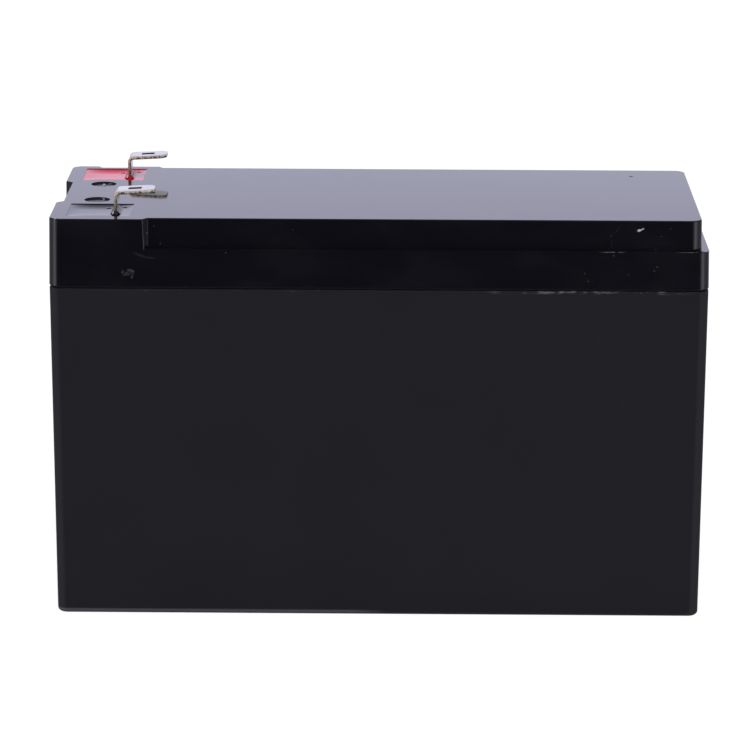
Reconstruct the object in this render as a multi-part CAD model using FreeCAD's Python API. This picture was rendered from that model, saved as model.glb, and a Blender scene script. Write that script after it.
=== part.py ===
# Lithium iron phosphate battery in a sealed two-piece case, in millimetres.
# The origin is the middle of the case's underside. +X is the long way, away from the
# terminals, +Y is towards the positive terminal and +Z is up.
import FreeCAD, Part
import math
import os

from FreeCAD import Vector

# Cells
cell_diameter = 26.2
cell_height = 65.2
cell_spacing = 1.3
cell_groups = 4
cell_rows = 2
cell_cap_inset = 4.1
cell_cap_height = 0.5
cell_crimp_radius = 0.8
cell_bead_depth = 0.6
cell_bead_width = 1.2
cell_bead_below_crimp = 3.0
cell_ring_inset = 0.6
cell_ring_thickness = 0.3
cell_ring_clearance = 0.2

# Cell holders
holder_pocket_clearance = 0.15
holder_pocket_depth = 6.0
holder_web = 1.2
holder_window_clearance = 0.6
holder_core_hole = 8.0
holder_notch_width = 3.0
holder_notch_depth = 3.0

# Nickel links
strip_thickness = 0.3
strip_half_plate = 8.0
strip_fold_radius = 0.8
dimple_diameter = 9.0
sense_tail_width = 3.0
sense_tail_end_gap = 1.0
lead_tail_width = 8.0
lead_tail_end_gap = 0.5
board_tail_width = 8.0
board_tail_stand_off = 2.0
board_tail_landing = 6.0

# Sheets and foam
insulator_thickness = 0.4
insulator_margin = 1.0
base_foam_thickness = 2.0
base_foam_margin = 2.5
side_foam_thickness = 2.2
side_foam_clearance = 0.15
side_foam_margin = 4.0
side_foam_end_gap = 5.0
end_foam_thickness = 17.55
end_foam_clearance = 0.3
end_foam_margin = 3.5
end_foam_below_cells = 5.0
top_foam_gap = 10.25
top_foam_length = 22.0
top_foam_margin = 1.0
board_foam_thickness = 3.0
board_foam_margin = 2.0

# Case and lid
case_wall = 2.0
case_floor = 2.0
case_draft = 0.6
case_bottom_radius = 1.0
corner_radius = 2.5
room_over_board = 13.9
lid_overhang = 0.05
lid_wall = 2.0
lid_top_thickness = 2.5
lid_draft = 0.2
lid_height = 15.6
lid_edge_radius = 0.3
seam_groove = 0.6
ledge_drop = 6.95
ledge_thickness = 2.0
tongue_thickness = 0.9
tongue_height = 3.0
tongue_clearance = 0.2

# Raised middle of the lid, set back from the skirt all round except at the pads
set_back_side = 1.55
set_back_far_end = 1.6
set_back_near_end = 1.6
front_pad_length = 21.85
back_corner_pad_length = 6.6
back_pad_gap = 7.8
back_pad_length = 6.95
end_notch_width = 26.0
pad_end_reach = 3.0
pad_end_run = 0.6

# Terminal wells and round recesses, placed from the near end and the sides of the lid
well_size = 14.6
well_end_margin = 3.9
well_side_margin = 3.5
well_depth = 6.5
well_wall = 1.5
well_corner_radius = 0.5
recess_diameter = 6.0
recess_depth = 0.4
recess_floor_radius = 0.25
recess_end_margin = 6.5
recess_spacing = 19.0

# Blade terminals, placed from the middle of their wells
blade_width = 6.35
blade_thickness = 0.8
blade_leg_offset = 3.8
blade_arm_rise = 4.15
blade_arm_reach = 8.9
blade_arm_slope_deg = 3.0
blade_bend_radius = 0.5
blade_tip_radius = 2.0
blade_slot_length = 3.0
blade_slot_width = 2.0
blade_slot_corner_radius = 0.3
blade_slot_reach = 4.3
blade_foot_below_well = 3.5
blade_hole_diameter = 2.4
blade_slot_clearance = 0.15
resin_below_top = 0.2
resin_fillet = 0.7

# Protection board
board_end_margin = 5.0
board_length = 70.0
board_width = 40.0
board_thickness = 1.6

# Parts on the board: body length along X, width along Y, height; places from the
# board's near end and its middle line
transistor_body = (6.6, 6.1, 2.3)
transistor_tab_length = 3.0
transistor_tab_thickness = 0.6
transistor_leg = (0.9, 2.4, 0.5)
transistor_first = 12.0
transistor_pitch = 10.0
transistor_count = 4
transistor_rows_y = (2.0, 13.0)
shunt_size = (6.4, 3.2, 0.6)
shunt_first = 12.0
shunt_pitch = 8.5
shunt_count = 3
shunt_y = -6.5
balance_size = (3.2, 6.4, 0.6)
balance_first = 51.5
balance_pitch = 4.4
balance_count = 4
balance_y = 13.0
chip_size = (6.5, 5.3, 1.6)
chip_first = 61.0
chip_y = 3.0
chip_pin_pitch = 0.65
chip_pin_count = 9
chip_pin = (0.3, 1.0, 0.25)
header_depth = 6.0
header_height = 6.0
header_wall = 0.9
header_set_back = 7.0
header_pin_size = 0.64
header_pin_length = 3.5
plug_clearance = 0.1
plug_stand_out = 4.0
plug_latch = (4.0, 1.2, 0.6)
contact_pitch = 2.5
contact_count = 5

# Wires and leads
sense_wire_diameter = 1.3
sense_lane_spacing = 3.4
sense_lane_overhang = 0.1
sense_wire_drop = 1.0
sense_turn_height = 4.5
sense_turn_length = 7.0
main_lead_diameter = 3.5
main_core_diameter = 1.9
main_core_past_blade = 1.5
main_core_bare = 2.3
main_lead_lift = 0.05
lead_joint_length = 7.0
lead_joint_width = 3.0
positive_climb_start = 28.0
positive_climb_middle = 14.0
positive_climb_rise = 5.0
negative_pad_end_margin = 28.0
negative_pad_y = -12.0
negative_run = 12.0
blade_approach = 1.0
negative_approach = 3.0
sensor_lead_diameter = 1.4
sensor_lead_on_board = 5.0
sensor_bead_diameter = 3.0
sensor_bead_length = 6.0
sensor_depth = 17.0
sensor_clearance = 0.05
sensor_hole_diameter = 4.0
arc_share = 0.45

# Heights, from the floor up to the top of the lid
base_foam_z = case_floor
bottom_insulator_z = base_foam_z + base_foam_thickness
bottom_strip_z = bottom_insulator_z + insulator_thickness
lower_web_z = bottom_strip_z + strip_thickness
cell_bottom_z = lower_web_z + holder_web
cell_top_z = cell_bottom_z + cell_height
top_strip_z = cell_top_z + holder_web
top_insulator_z = top_strip_z + strip_thickness
board_foam_z = top_insulator_z + insulator_thickness
board_z = board_foam_z + board_foam_thickness
board_top_z = board_z + board_thickness
lid_under_z = board_top_z + room_over_board
lid_top_z = lid_under_z + lid_top_thickness
ledge_z = lid_top_z - ledge_drop
lid_bottom_z = lid_top_z - lid_height
seam_z = lid_bottom_z - seam_groove
tongue_top_z = seam_z + tongue_height
well_floor_z = lid_top_z - well_depth
well_under_z = well_floor_z - well_wall
blade_foot_z = well_under_z - blade_foot_below_well
blade_hole_z = (well_under_z + blade_foot_z) / 2

# Places in plan, from the block of cells outwards
cell_pitch = cell_diameter + cell_spacing
cell_cap_diameter = cell_diameter - 2 * cell_cap_inset
block_half_length = cell_groups * cell_pitch / 2
block_half_width = cell_rows * cell_pitch / 2
floor_half_length = block_half_length + end_foam_thickness + end_foam_clearance
floor_half_width = block_half_width + side_foam_thickness + side_foam_clearance
case_half_length = floor_half_length + case_wall + case_draft
case_half_width = floor_half_width + case_wall + case_draft
lid_half_length = case_half_length + lid_overhang
lid_half_width = case_half_width + lid_overhang
first_group_x = -(cell_groups - 1) * cell_pitch / 2
last_group_x = -first_group_x
row_y = (cell_rows - 1) * cell_pitch / 2
notch_y = -block_half_width + holder_notch_depth / 2
board_start_x = -block_half_length + board_end_margin
board_end_x = board_start_x + board_length
board_half_width = board_width / 2
header_front_y = -board_half_width + header_set_back
well_centre_x = -lid_half_length + well_end_margin + well_size / 2
well_centre_y = lid_half_width - well_side_margin - well_size / 2
recess_x = -lid_half_length + recess_end_margin + recess_diameter / 2
blade_leg_x = well_centre_x + blade_leg_offset
blade_tip_x = blade_leg_x + blade_arm_reach
blade_slot_x = blade_leg_x + blade_slot_reach


def case_fall(z):
    """How far the case's drafted wall is inside its size at the seam, at a height z."""
    return case_draft * (seam_z - z) / seam_z


def lid_fall(z):
    """How far the lid's drafted wall is inside its size at its lower edge, at a height z."""
    return lid_draft * (z - lid_bottom_z) / lid_height


def box(x0, x1, y0, y1, z0, z1):
    return Part.makeBox(x1 - x0, y1 - y0, z1 - z0, Vector(x0, y0, z0))


def centred_box(x, y, z, size):
    """A box by the middle of its underside and its (length, width, height)."""
    length, width, height = size
    return box(x - length / 2, x + length / 2, y - width / 2, y + width / 2, z, z + height)


def post(x, y, z0, z1, diameter):
    return Part.makeCylinder(diameter / 2, z1 - z0, Vector(x, y, z0))


def prism(points, z0, z1):
    """An upright prism on a list of (x, y) corners."""
    corners = [Vector(x, y, z0) for x, y in points]
    face = Part.Face(Part.makePolygon(corners + corners[:1]))
    return face.extrude(Vector(0, 0, z1 - z0))


def rounded_outline(x0, x1, y0, y1, radius, z):
    """A closed rectangle with round corners."""
    half = radius * math.sqrt(0.5)
    corners = [
        (x1 - radius, y1 - radius, 1, 1),
        (x0 + radius, y1 - radius, -1, 1),
        (x0 + radius, y0 + radius, -1, -1),
        (x1 - radius, y0 + radius, 1, -1),
    ]
    arcs = []
    for x, y, along_x, along_y in corners:
        side_x = Vector(x + along_x * radius, y, z)
        side_y = Vector(x, y + along_y * radius, z)
        middle = Vector(x + along_x * half, y + along_y * half, z)
        ends = (side_x, side_y) if along_x == along_y else (side_y, side_x)
        arcs.append(Part.Arc(ends[0], middle, ends[1]).toShape())
    edges = []
    for index, arc in enumerate(arcs):
        following = arcs[(index + 1) % len(arcs)]
        edges.append(arc)
        edges.append(Part.makeLine(arc.Vertexes[-1].Point, following.Vertexes[0].Point))
    return Part.Wire(edges)


def drafted_block(x0, x1, y0, y1, z0, z1, radius, grow=0.0):
    """A block with round upright corners whose walls lean out by grow at the top."""
    low = rounded_outline(x0, x1, y0, y1, radius, z0)
    high = rounded_outline(x0 - grow, x1 + grow, y0 - grow, y1 + grow, radius, z1)
    return Part.makeLoft([low, high], True, True)


def union(shapes):
    shapes = list(shapes)
    if len(shapes) == 1:
        return shapes[0]
    return shapes[0].fuse(shapes[1:]).removeSplitter()


def turned(shape, axis, angle, centre=Vector(0, 0, 0)):
    copy = shape.copy()
    copy.rotate(centre, axis, angle)
    return copy


def route(name, points, largest=math.inf):
    """Straight runs joined by tangent arcs, each as large as its two runs or largest allow."""
    points = [Vector(*p) for p in points]
    edges = []
    start = points[0]
    radii = []
    for before, here, after in zip(points, points[1:], points[2:]):
        into = (here - before).normalize()
        out = (after - here).normalize()
        half_turn = into.getAngle(out) / 2
        reach = arc_share * min((here - before).Length, (after - here).Length)
        radius = min(reach / math.tan(half_turn), largest)
        reach = radius * math.tan(half_turn)
        first = here - into * reach
        last = here + out * reach
        sideways = (out - into).normalize()
        middle = here + sideways * (radius / math.cos(half_turn) - radius)
        edges.append(Part.LineSegment(start, first).toShape())
        edges.append(Part.Arc(first, middle, last).toShape())
        start = last
        radii.append(round(radius, 1))
    edges.append(Part.LineSegment(start, points[-1]).toShape())
    print(name, "bend radii", radii)
    return Part.Wire(edges)


def tube(name, points, diameter):
    """A round wire along its route."""
    path = route(name, points)
    points = [Vector(*p) for p in points]
    ring = Part.makeCircle(diameter / 2, points[0], points[1] - points[0])
    solid = path.makePipeShell([Part.Wire([ring])], True, False)
    expected = path.Length * math.pi * diameter**2 / 4
    print(name, "volume over section times length", round(solid.Volume / expected, 4))
    return solid


def folded_strip(name, points, thickness, width):
    """A flat strip folded along a path in an XZ plane, by its middle line."""
    path = route(name, points, strip_fold_radius)
    start = Vector(*points[0])
    along = (Vector(*points[1]) - start).normalize()
    across = Vector(0, 1, 0) * (width / 2)
    up = along.cross(Vector(0, 1, 0)) * (thickness / 2)
    corners = [start + across + up, start - across + up, start - across - up, start + across - up]
    section = Part.makePolygon(corners + corners[:1])
    return path.makePipeShell([section], True, False)


def cell_places():
    """(number, group, x, y) of each cell, two to a group."""
    places = []
    for group in range(cell_groups):
        for row in range(cell_rows):
            x = first_group_x + group * cell_pitch
            y = -row_y + row * cell_pitch
            places.append((group * cell_rows + row + 1, group, x, y))
    return places


# Case
def case_outside(shrink, z0, z1):
    """The drafted outside of the case, taken in by shrink on every side."""
    fall = case_fall(z0) + shrink
    grow = case_fall(z0) - case_fall(z1)
    half_x = case_half_length - fall
    half_y = case_half_width - fall
    radius = max(corner_radius - shrink, 0.4)
    return drafted_block(-half_x, half_x, -half_y, half_y, z0, z1, radius, grow)


def make_case():
    body = case_outside(0.0, 0.0, seam_z)
    bottom = [e for e in body.Edges if e.BoundBox.ZMax < 0.01]
    body = body.makeFillet(case_bottom_radius, bottom)
    tongue = case_outside(case_wall - tongue_thickness, seam_z - case_wall, tongue_top_z)
    cavity = case_outside(case_wall, case_floor, tongue_top_z + case_wall)
    return union([body, tongue]).cut(cavity)


# Lid
def lid_block(shrink_x0, shrink_x1, shrink_y, z0, z1, radius):
    """A block inside the lid's drafted outside, set back on each side."""
    fall = lid_fall(z0)
    grow = fall - lid_fall(z1)
    x0 = -lid_half_length + fall + shrink_x0
    x1 = lid_half_length - fall - shrink_x1
    y1 = lid_half_width - fall - shrink_y
    return drafted_block(x0, x1, -y1, y1, z0, z1, radius, grow)


def pad_end(x, side, direction):
    """Two corners of a slanted pad end through the lid's side face at x."""
    reach = pad_end_reach
    run = direction * pad_end_run * reach
    face_y = lid_half_width - lid_draft
    outer = (x - run, side * (face_y + reach))
    inner = (x + run, side * (face_y - reach))
    return [outer, inner]


def corner_pad(side, length):
    """Plan of the flush pad round one corner of the terminal end."""
    reach = pad_end_reach
    end_face = -lid_half_length
    end_y = side * end_notch_width / 2
    outer, inner = pad_end(end_face + length, side, 1)
    return [
        outer,
        inner,
        (end_face + reach, inner[1]),
        (end_face + reach, end_y - side * reach),
        (end_face - reach, end_y + side * reach),
        (end_face - reach, outer[1]),
    ]


def lid_pads():
    """The three places where the raised middle comes out flush with the skirt."""
    outside = lid_block(0, 0, 0, lid_bottom_z, lid_top_z, corner_radius)
    start = -lid_half_length + back_corner_pad_length + back_pad_gap
    back_pad = pad_end(start, 1, -1) + pad_end(start + back_pad_length, 1, 1)[::-1]
    plans = [corner_pad(-1, front_pad_length), corner_pad(1, back_corner_pad_length), back_pad]
    return [outside.common(prism(plan, ledge_z, lid_top_z)) for plan in plans]


def well_block(side, size, z0, z1, radius):
    half = size / 2
    x0 = well_centre_x - half
    y0 = side * well_centre_y - half
    return drafted_block(x0, x0 + size, y0, y0 + size, z0, z1, radius)


def make_lid():
    skirt = lid_block(0, 0, 0, lid_bottom_z, ledge_z, corner_radius)
    raised = lid_block(
        set_back_near_end, set_back_far_end, set_back_side, ledge_z, lid_top_z, corner_radius
    )
    shell = union([skirt, raised] + lid_pads())
    top_face = [f for f in shell.Faces if f.BoundBox.ZMin > lid_top_z - 0.01][0]
    shell = shell.makeFillet(lid_edge_radius, top_face.Edges)
    rebate_wall = case_wall - tongue_thickness - tongue_clearance + lid_overhang
    rebate = lid_block(
        rebate_wall, rebate_wall, rebate_wall, seam_z, tongue_top_z, corner_radius / 2
    )
    low_hollow = lid_block(
        lid_wall, lid_wall, lid_wall, lid_bottom_z, ledge_z - ledge_thickness, corner_radius / 2
    )
    high_hollow = lid_block(
        set_back_near_end + lid_wall, set_back_far_end + lid_wall, set_back_side + lid_wall,
        ledge_z - ledge_thickness - lid_wall, lid_under_z, corner_radius / 2,
    )
    shell = shell.cut([rebate, low_hollow, high_hollow])
    outer_size = well_size + 2 * well_wall
    for side in (-1, 1):
        shell = shell.fuse(well_block(side, outer_size, well_under_z, lid_under_z, well_wall))
    tools = []
    for side in (-1, 1):
        tools.append(well_block(side, well_size, well_floor_z, lid_top_z + 1, well_corner_radius))
        slot_x = blade_thickness / 2 + blade_slot_clearance
        slot_y = blade_width / 2 + blade_slot_clearance
        y = side * well_centre_y
        tools.append(box(
            blade_leg_x - slot_x, blade_leg_x + slot_x, y - slot_y, y + slot_y,
            well_under_z - 1, well_floor_z + 1,
        ))
        recess_y = side * recess_spacing / 2
        recess_z = lid_top_z - recess_depth
        recess = post(recess_x, recess_y, recess_z, lid_top_z + 1, recess_diameter)
        rim = [e for e in recess.Edges if e.BoundBox.ZMax < lid_top_z]
        tools.append(recess.makeFillet(recess_floor_radius, rim))
    return shell.cut(tools).removeSplitter()


# Terminals
def make_blade(name, side):
    """A vertical leg through the well, bent over towards the far end of the lid."""
    y = side * well_centre_y
    half = blade_thickness / 2
    slope = math.radians(blade_arm_slope_deg)
    bend_z = lid_top_z + blade_arm_rise + half / math.cos(slope)
    tip_z = bend_z + (blade_tip_x - blade_leg_x) * math.tan(slope)
    turn = math.radians(90 - blade_arm_slope_deg)
    middle_radius = blade_bend_radius + half
    reach = middle_radius * math.tan(turn / 2)
    corner = Vector(blade_leg_x, y, bend_z)
    out = Vector(math.cos(slope), 0, math.sin(slope))
    first = corner - Vector(0, 0, reach)
    last = corner + out * reach
    centre = first + Vector(middle_radius, 0, 0)
    middle = centre + (corner - centre).normalize() * middle_radius
    foot = Vector(blade_leg_x, y, blade_foot_z)
    tip = Vector(blade_tip_x, y, tip_z)
    path = Part.Wire([
        Part.LineSegment(foot, first).toShape(),
        Part.Arc(first, middle, last).toShape(),
        Part.LineSegment(last, tip).toShape(),
    ])
    section = Part.makePolygon([
        foot + Vector(-half, -blade_width / 2, 0),
        foot + Vector(half, -blade_width / 2, 0),
        foot + Vector(half, blade_width / 2, 0),
        foot + Vector(-half, blade_width / 2, 0),
        foot + Vector(-half, -blade_width / 2, 0),
    ])
    blade = path.makePipeShell([section], True, False)
    plan = drafted_block(
        blade_leg_x - half - 2 * blade_tip_radius, blade_tip_x, y - blade_width / 2,
        y + blade_width / 2, blade_foot_z - 1, tip_z + 2, blade_tip_radius,
    )
    slot_half_length = blade_slot_length / 2
    slot_half_width = blade_slot_width / 2
    slot = drafted_block(
        blade_slot_x - slot_half_length, blade_slot_x + slot_half_length,
        y - slot_half_width, y + slot_half_width, lid_top_z + 1, tip_z + 2,
        blade_slot_corner_radius,
    )
    hole = Part.makeCylinder(
        blade_hole_diameter / 2, 2, Vector(blade_leg_x - 1, y, blade_hole_z), Vector(1, 0, 0)
    )
    print(name, "tip top", round(tip_z + half, 2))
    return blade.common(plan).cut([slot, hole])


def make_resin(side, blade):
    """The cast filling of one well, with its small rise round the blade's leg."""
    top = lid_top_z - resin_below_top
    fill = well_block(side, well_size, well_floor_z, top, well_corner_radius)
    y = side * well_centre_y
    half = blade_thickness / 2
    levels = [(0.0, resin_fillet), (0.5 * resin_fillet, 0.25 * resin_fillet), (resin_fillet, 0.05)]
    outlines = []
    for rise, spread in levels:
        half_x = half + spread
        half_y = blade_width / 2 + spread
        outlines.append(rounded_outline(
            blade_leg_x - half_x, blade_leg_x + half_x, y - half_y, y + half_y,
            0.5 * half_x, top + rise,
        ))
    cone = Part.makeLoft(outlines, True, True)
    slot_x = half + blade_slot_clearance
    slot_y = blade_width / 2 + blade_slot_clearance
    plug = box(
        blade_leg_x - slot_x, blade_leg_x + slot_x, y - slot_y, y + slot_y,
        well_under_z, well_floor_z,
    )
    return union([fill, cone, plug]).cut(blade)


# Cells
def upright_cell():
    """One can with its positive cap up, standing on the origin."""
    radius = cell_diameter / 2
    crimp_z = cell_height - cell_cap_height
    can = Part.makeCylinder(radius, crimp_z)
    ends = [e for e in can.Edges if e.BoundBox.ZMax - e.BoundBox.ZMin < 0.01]
    can = can.makeFillet(cell_crimp_radius, ends)
    cap = Part.makeCylinder(cell_cap_diameter / 2, cell_cap_height, Vector(0, 0, crimp_z))
    bead_z = crimp_z - cell_bead_below_crimp
    groove = Part.makeCylinder(radius + 1, cell_bead_width, Vector(0, 0, bead_z))
    core = Part.makeCylinder(radius - cell_bead_depth, cell_bead_width, Vector(0, 0, bead_z))
    return can.fuse(cap).cut(groove.cut(core))


def upright_ring():
    crimp_z = cell_height - cell_cap_height
    radius = cell_diameter / 2 - cell_ring_inset
    ring = Part.makeCylinder(radius, cell_ring_thickness, Vector(0, 0, crimp_z))
    hole = Part.makeCylinder(
        cell_cap_diameter / 2 + cell_ring_clearance, cell_ring_thickness, Vector(0, 0, crimp_z)
    )
    return ring.cut(hole)


def place_in_cell(shape, group, x, y):
    """Groups 2 and 4 stand with the positive end up, groups 1 and 3 with it down."""
    if group % 2 == 0:
        shape = turned(shape, Vector(1, 0, 0), 180, Vector(0, 0, cell_height / 2))
    else:
        shape = shape.copy()
    shape.translate(Vector(x, y, cell_bottom_z))
    return shape


def make_cells():
    cells = {}
    for number, group, x, y in cell_places():
        cells["cell_%d" % number] = place_in_cell(upright_cell(), group, x, y)
    return cells


def make_cell_rings():
    rings = [place_in_cell(upright_ring(), group, x, y) for _, group, x, y in cell_places()]
    return Part.makeCompound(rings)


# Cell holders
def sensor_place():
    """The bead lies against the wall of the front cell of the third group, facing the middle."""
    reach = cell_diameter / 2 + sensor_bead_diameter / 2 + sensor_clearance
    cell_x = first_group_x + 2 * cell_pitch
    return cell_x + reach * math.sqrt(0.5), -row_y + reach * math.sqrt(0.5)


def make_holder(web_z, pocket_z0, pocket_z1):
    """A tray with a pocket and a weld window for each cell."""
    z0 = min(web_z, pocket_z0)
    z1 = max(web_z + holder_web, pocket_z1)
    tray = drafted_block(
        -block_half_length, block_half_length, -block_half_width, block_half_width,
        z0, z1, corner_radius,
    )
    tools = []
    pocket = cell_diameter + 2 * holder_pocket_clearance
    window = cell_cap_diameter + 2 * holder_window_clearance
    for _, _, x, y in cell_places():
        tools.append(post(x, y, pocket_z0, pocket_z1, pocket))
        tools.append(post(x, y, z0 - 1, z1 + 1, window))
    for gap in range(cell_groups - 1):
        x = first_group_x + (gap + 0.5) * cell_pitch
        tools.append(post(x, 0, z0 - 1, z1 + 1, holder_core_hole))
        if gap != 1:
            half = holder_notch_width / 2
            tools.append(box(
                x - half, x + half, -block_half_width - 1, -block_half_width + holder_notch_depth,
                z0 - 1, z1 + 1,
            ))
    sensor_x, sensor_y = sensor_place()
    if web_z > pocket_z0:
        tools.append(post(sensor_x, sensor_y, z0 - 1, z1 + 1, sensor_hole_diameter))
    return tray.cut(tools)


# Nickel links
def dimple(x, y, plate_z, contact_z):
    """A pressed cup that reaches from the plate down or up to the cell's end."""
    low = min(plate_z, contact_z)
    high = max(plate_z + strip_thickness, contact_z)
    cup = post(x, y, low, high, dimple_diameter)
    hollow = post(x, y, low, high, dimple_diameter - 2 * strip_thickness)
    shift = strip_thickness if contact_z <= plate_z else -strip_thickness
    hollow.translate(Vector(0, 0, shift))
    return cup, hollow


def link_plate(groups, plate_z, contact_z, tails):
    """A plate over whole groups of cells, with a dimple on each cell and its tails."""
    xs = [first_group_x + group * cell_pitch for group in groups]
    reach_y = row_y + strip_half_plate
    plate = drafted_block(
        min(xs) - strip_half_plate, max(xs) + strip_half_plate, -reach_y, reach_y,
        plate_z, plate_z + strip_thickness, corner_radius,
    )
    cups = []
    hollows = []
    for _, group, x, y in cell_places():
        if group in groups:
            cup, hollow = dimple(x, y, plate_z, contact_z)
            cups.append(cup)
            hollows.append(hollow)
    return plate.fuse(cups + tails).cut(hollows).removeSplitter()


def sense_tail(x, plate_z):
    half = sense_tail_width / 2
    start = -row_y - strip_half_plate + corner_radius
    end = -block_half_width + sense_tail_end_gap
    return box(x - half, x + half, end, start, plate_z, plate_z + strip_thickness)


def board_tail():
    """The fold that brings the negative end of the cells up on to the board."""
    middle_z = top_strip_z + strip_thickness / 2
    landing_z = board_top_z + strip_thickness / 2
    start_x = first_group_x - strip_half_plate + strip_thickness
    riser_x = board_start_x - board_tail_stand_off - strip_thickness / 2
    points = [
        (start_x, 0, middle_z), (riser_x, 0, middle_z), (riser_x, 0, landing_z),
        (board_start_x + board_tail_landing, 0, landing_z),
    ]
    return folded_strip("negative_end_strip", points, strip_thickness, board_tail_width)


def make_links():
    top = (top_strip_z, cell_top_z)
    bottom = (bottom_strip_z, cell_bottom_z)
    half_tail = lead_tail_width / 2
    lead_tail = box(
        last_group_x - half_tail, last_group_x + half_tail, row_y + strip_half_plate - corner_radius,
        block_half_width - lead_tail_end_gap, top_strip_z, top_strip_z + strip_thickness,
    )
    last = cell_groups - 1
    positive_tails = [sense_tail(last_group_x, top_strip_z), lead_tail]
    negative_tails = [sense_tail(first_group_x, top_strip_z), board_tail()]
    return {
        "negative_end_strip": link_plate([0], *top, negative_tails),
        "top_link_strip": link_plate([1, 2], *top, [sense_tail(0, top_strip_z)]),
        "positive_end_strip": link_plate([last], *top, positive_tails),
        "bottom_link_strip_1": link_plate([0, 1], *bottom, [sense_tail(-cell_pitch, bottom_strip_z)]),
        "bottom_link_strip_2": link_plate([2, 3], *bottom, [sense_tail(cell_pitch, bottom_strip_z)]),
    }


# Sheets and foam
def make_insulators():
    reach_x = block_half_length - insulator_margin
    plate_y = row_y + strip_half_plate + insulator_margin / 2
    bottom = box(
        -reach_x, reach_x, -plate_y, plate_y, bottom_insulator_z, bottom_insulator_z + insulator_thickness
    )
    top = box(
        board_start_x - insulator_margin, reach_x, -plate_y, plate_y,
        top_insulator_z, top_insulator_z + insulator_thickness,
    )
    x, y = sensor_place()
    hole = post(x, y, top_insulator_z - 1, board_foam_z + 1, sensor_hole_diameter)
    return {"bottom_insulator_sheet": bottom, "top_insulator_sheet": top.cut(hole)}


def make_foam():
    inner_x = floor_half_length
    inner_y = floor_half_width
    base = drafted_block(
        -inner_x + base_foam_margin, inner_x - base_foam_margin,
        -inner_y + end_foam_clearance, inner_y - end_foam_clearance,
        base_foam_z, bottom_insulator_z, corner_radius,
    )
    end_y = inner_y - end_foam_margin
    end_x = block_half_length + end_foam_thickness
    end_z = (bottom_insulator_z, cell_top_z - end_foam_below_cells)
    far = drafted_block(block_half_length, end_x, -end_y, end_y, *end_z, corner_radius)
    near = drafted_block(-end_x, -block_half_length, -end_y, end_y, *end_z, corner_radius)
    side_x = block_half_length - side_foam_end_gap
    side_z = (bottom_insulator_z + side_foam_margin, cell_top_z - side_foam_margin)
    side_y = block_half_width + side_foam_thickness
    top_start = board_end_x + top_foam_gap
    top_y = row_y + strip_half_plate - top_foam_margin
    return {
        "bottom_foam_pad": base,
        "far_end_foam": far,
        "near_end_foam": near,
        "front_foam_pad": box(-side_x, side_x, -side_y, -block_half_width, *side_z),
        "back_foam_pad": box(-side_x, side_x, block_half_width, side_y, *side_z),
        "top_foam_block": box(
            top_start, top_start + top_foam_length, -top_y, top_y, board_foam_z, lid_under_z
        ),
        "board_foam_pad": box(
            board_start_x + board_foam_margin, board_end_x - board_foam_margin,
            -board_half_width + board_foam_margin, board_half_width - board_foam_margin,
            board_foam_z, board_z,
        ),
    }


# Protection board and its parts
def make_board():
    return drafted_block(
        board_start_x, board_end_x, -board_half_width, board_half_width,
        board_z, board_top_z, corner_radius / 2,
    )


def transistor(x, y):
    """A flat power package: body, metal tab to the back and two legs to the front."""
    length, width, height = transistor_body
    body = centred_box(x, y, board_top_z, transistor_body)
    tab = centred_box(
        x, y + (width + transistor_tab_length) / 2, board_top_z,
        (length - 1, transistor_tab_length, transistor_tab_thickness),
    )
    legs = []
    for side in (-1, 1):
        leg_y = y - (width + transistor_leg[1]) / 2
        legs.append(centred_box(x + side * length / 3, leg_y, board_top_z, transistor_leg))
    return body.fuse([tab] + legs).removeSplitter()


def make_transistors():
    parts = []
    for y in transistor_rows_y:
        for index in range(transistor_count):
            parts.append(transistor(board_start_x + transistor_first + index * transistor_pitch, y))
    return Part.makeCompound(parts)


def row_of_chips(size, first, pitch, count, y):
    """Flat two-ended resistors side by side."""
    chips = []
    for index in range(count):
        chip = centred_box(board_start_x + first + index * pitch, y, board_top_z, size)
        top = [e for e in chip.Edges if e.BoundBox.ZMin > board_top_z + 0.01]
        chips.append(chip.makeChamfer(size[2] / 6, top))
    return Part.makeCompound(chips)


def make_controller_chip():
    """A small flat package with a row of gull-wing pins on each long side."""
    x = board_start_x + chip_first
    y = chip_y
    stand_off = chip_pin[2] / 2
    body = centred_box(x, y, board_top_z + stand_off, chip_size)
    pins = []
    for side in (-1, 1):
        for index in range(chip_pin_count):
            pin_x = x + (index - (chip_pin_count - 1) / 2) * chip_pin_pitch
            pin_y = y + side * (chip_size[1] + chip_pin[1]) / 2
            pins.append(centred_box(pin_x, pin_y, board_top_z, chip_pin))
    return body.fuse(pins).removeSplitter()


def contact_x(index):
    return (index - (contact_count - 1) / 2) * contact_pitch


def header_half_length():
    return contact_count * contact_pitch / 2 + header_wall


def make_header():
    """A side-entry shroud with one square pin per contact."""
    half_x = header_half_length()
    back_y = header_front_y + header_depth
    top_z = board_top_z + header_height
    shroud = box(-half_x, half_x, header_front_y, back_y, board_top_z, top_z)
    hollow = box(
        -half_x + header_wall, half_x - header_wall, header_front_y - 1, back_y - header_wall,
        board_top_z + header_wall, top_z - header_wall,
    )
    pins = []
    middle_z = board_top_z + header_height / 2
    half_pin = header_pin_size / 2
    for index in range(contact_count):
        x = contact_x(index)
        pins.append(box(
            x - half_pin, x + half_pin, back_y - header_wall - header_pin_length, back_y - header_wall / 2,
            middle_z - half_pin, middle_z + half_pin,
        ))
    return shroud.cut(hollow).fuse(pins).removeSplitter()


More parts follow.
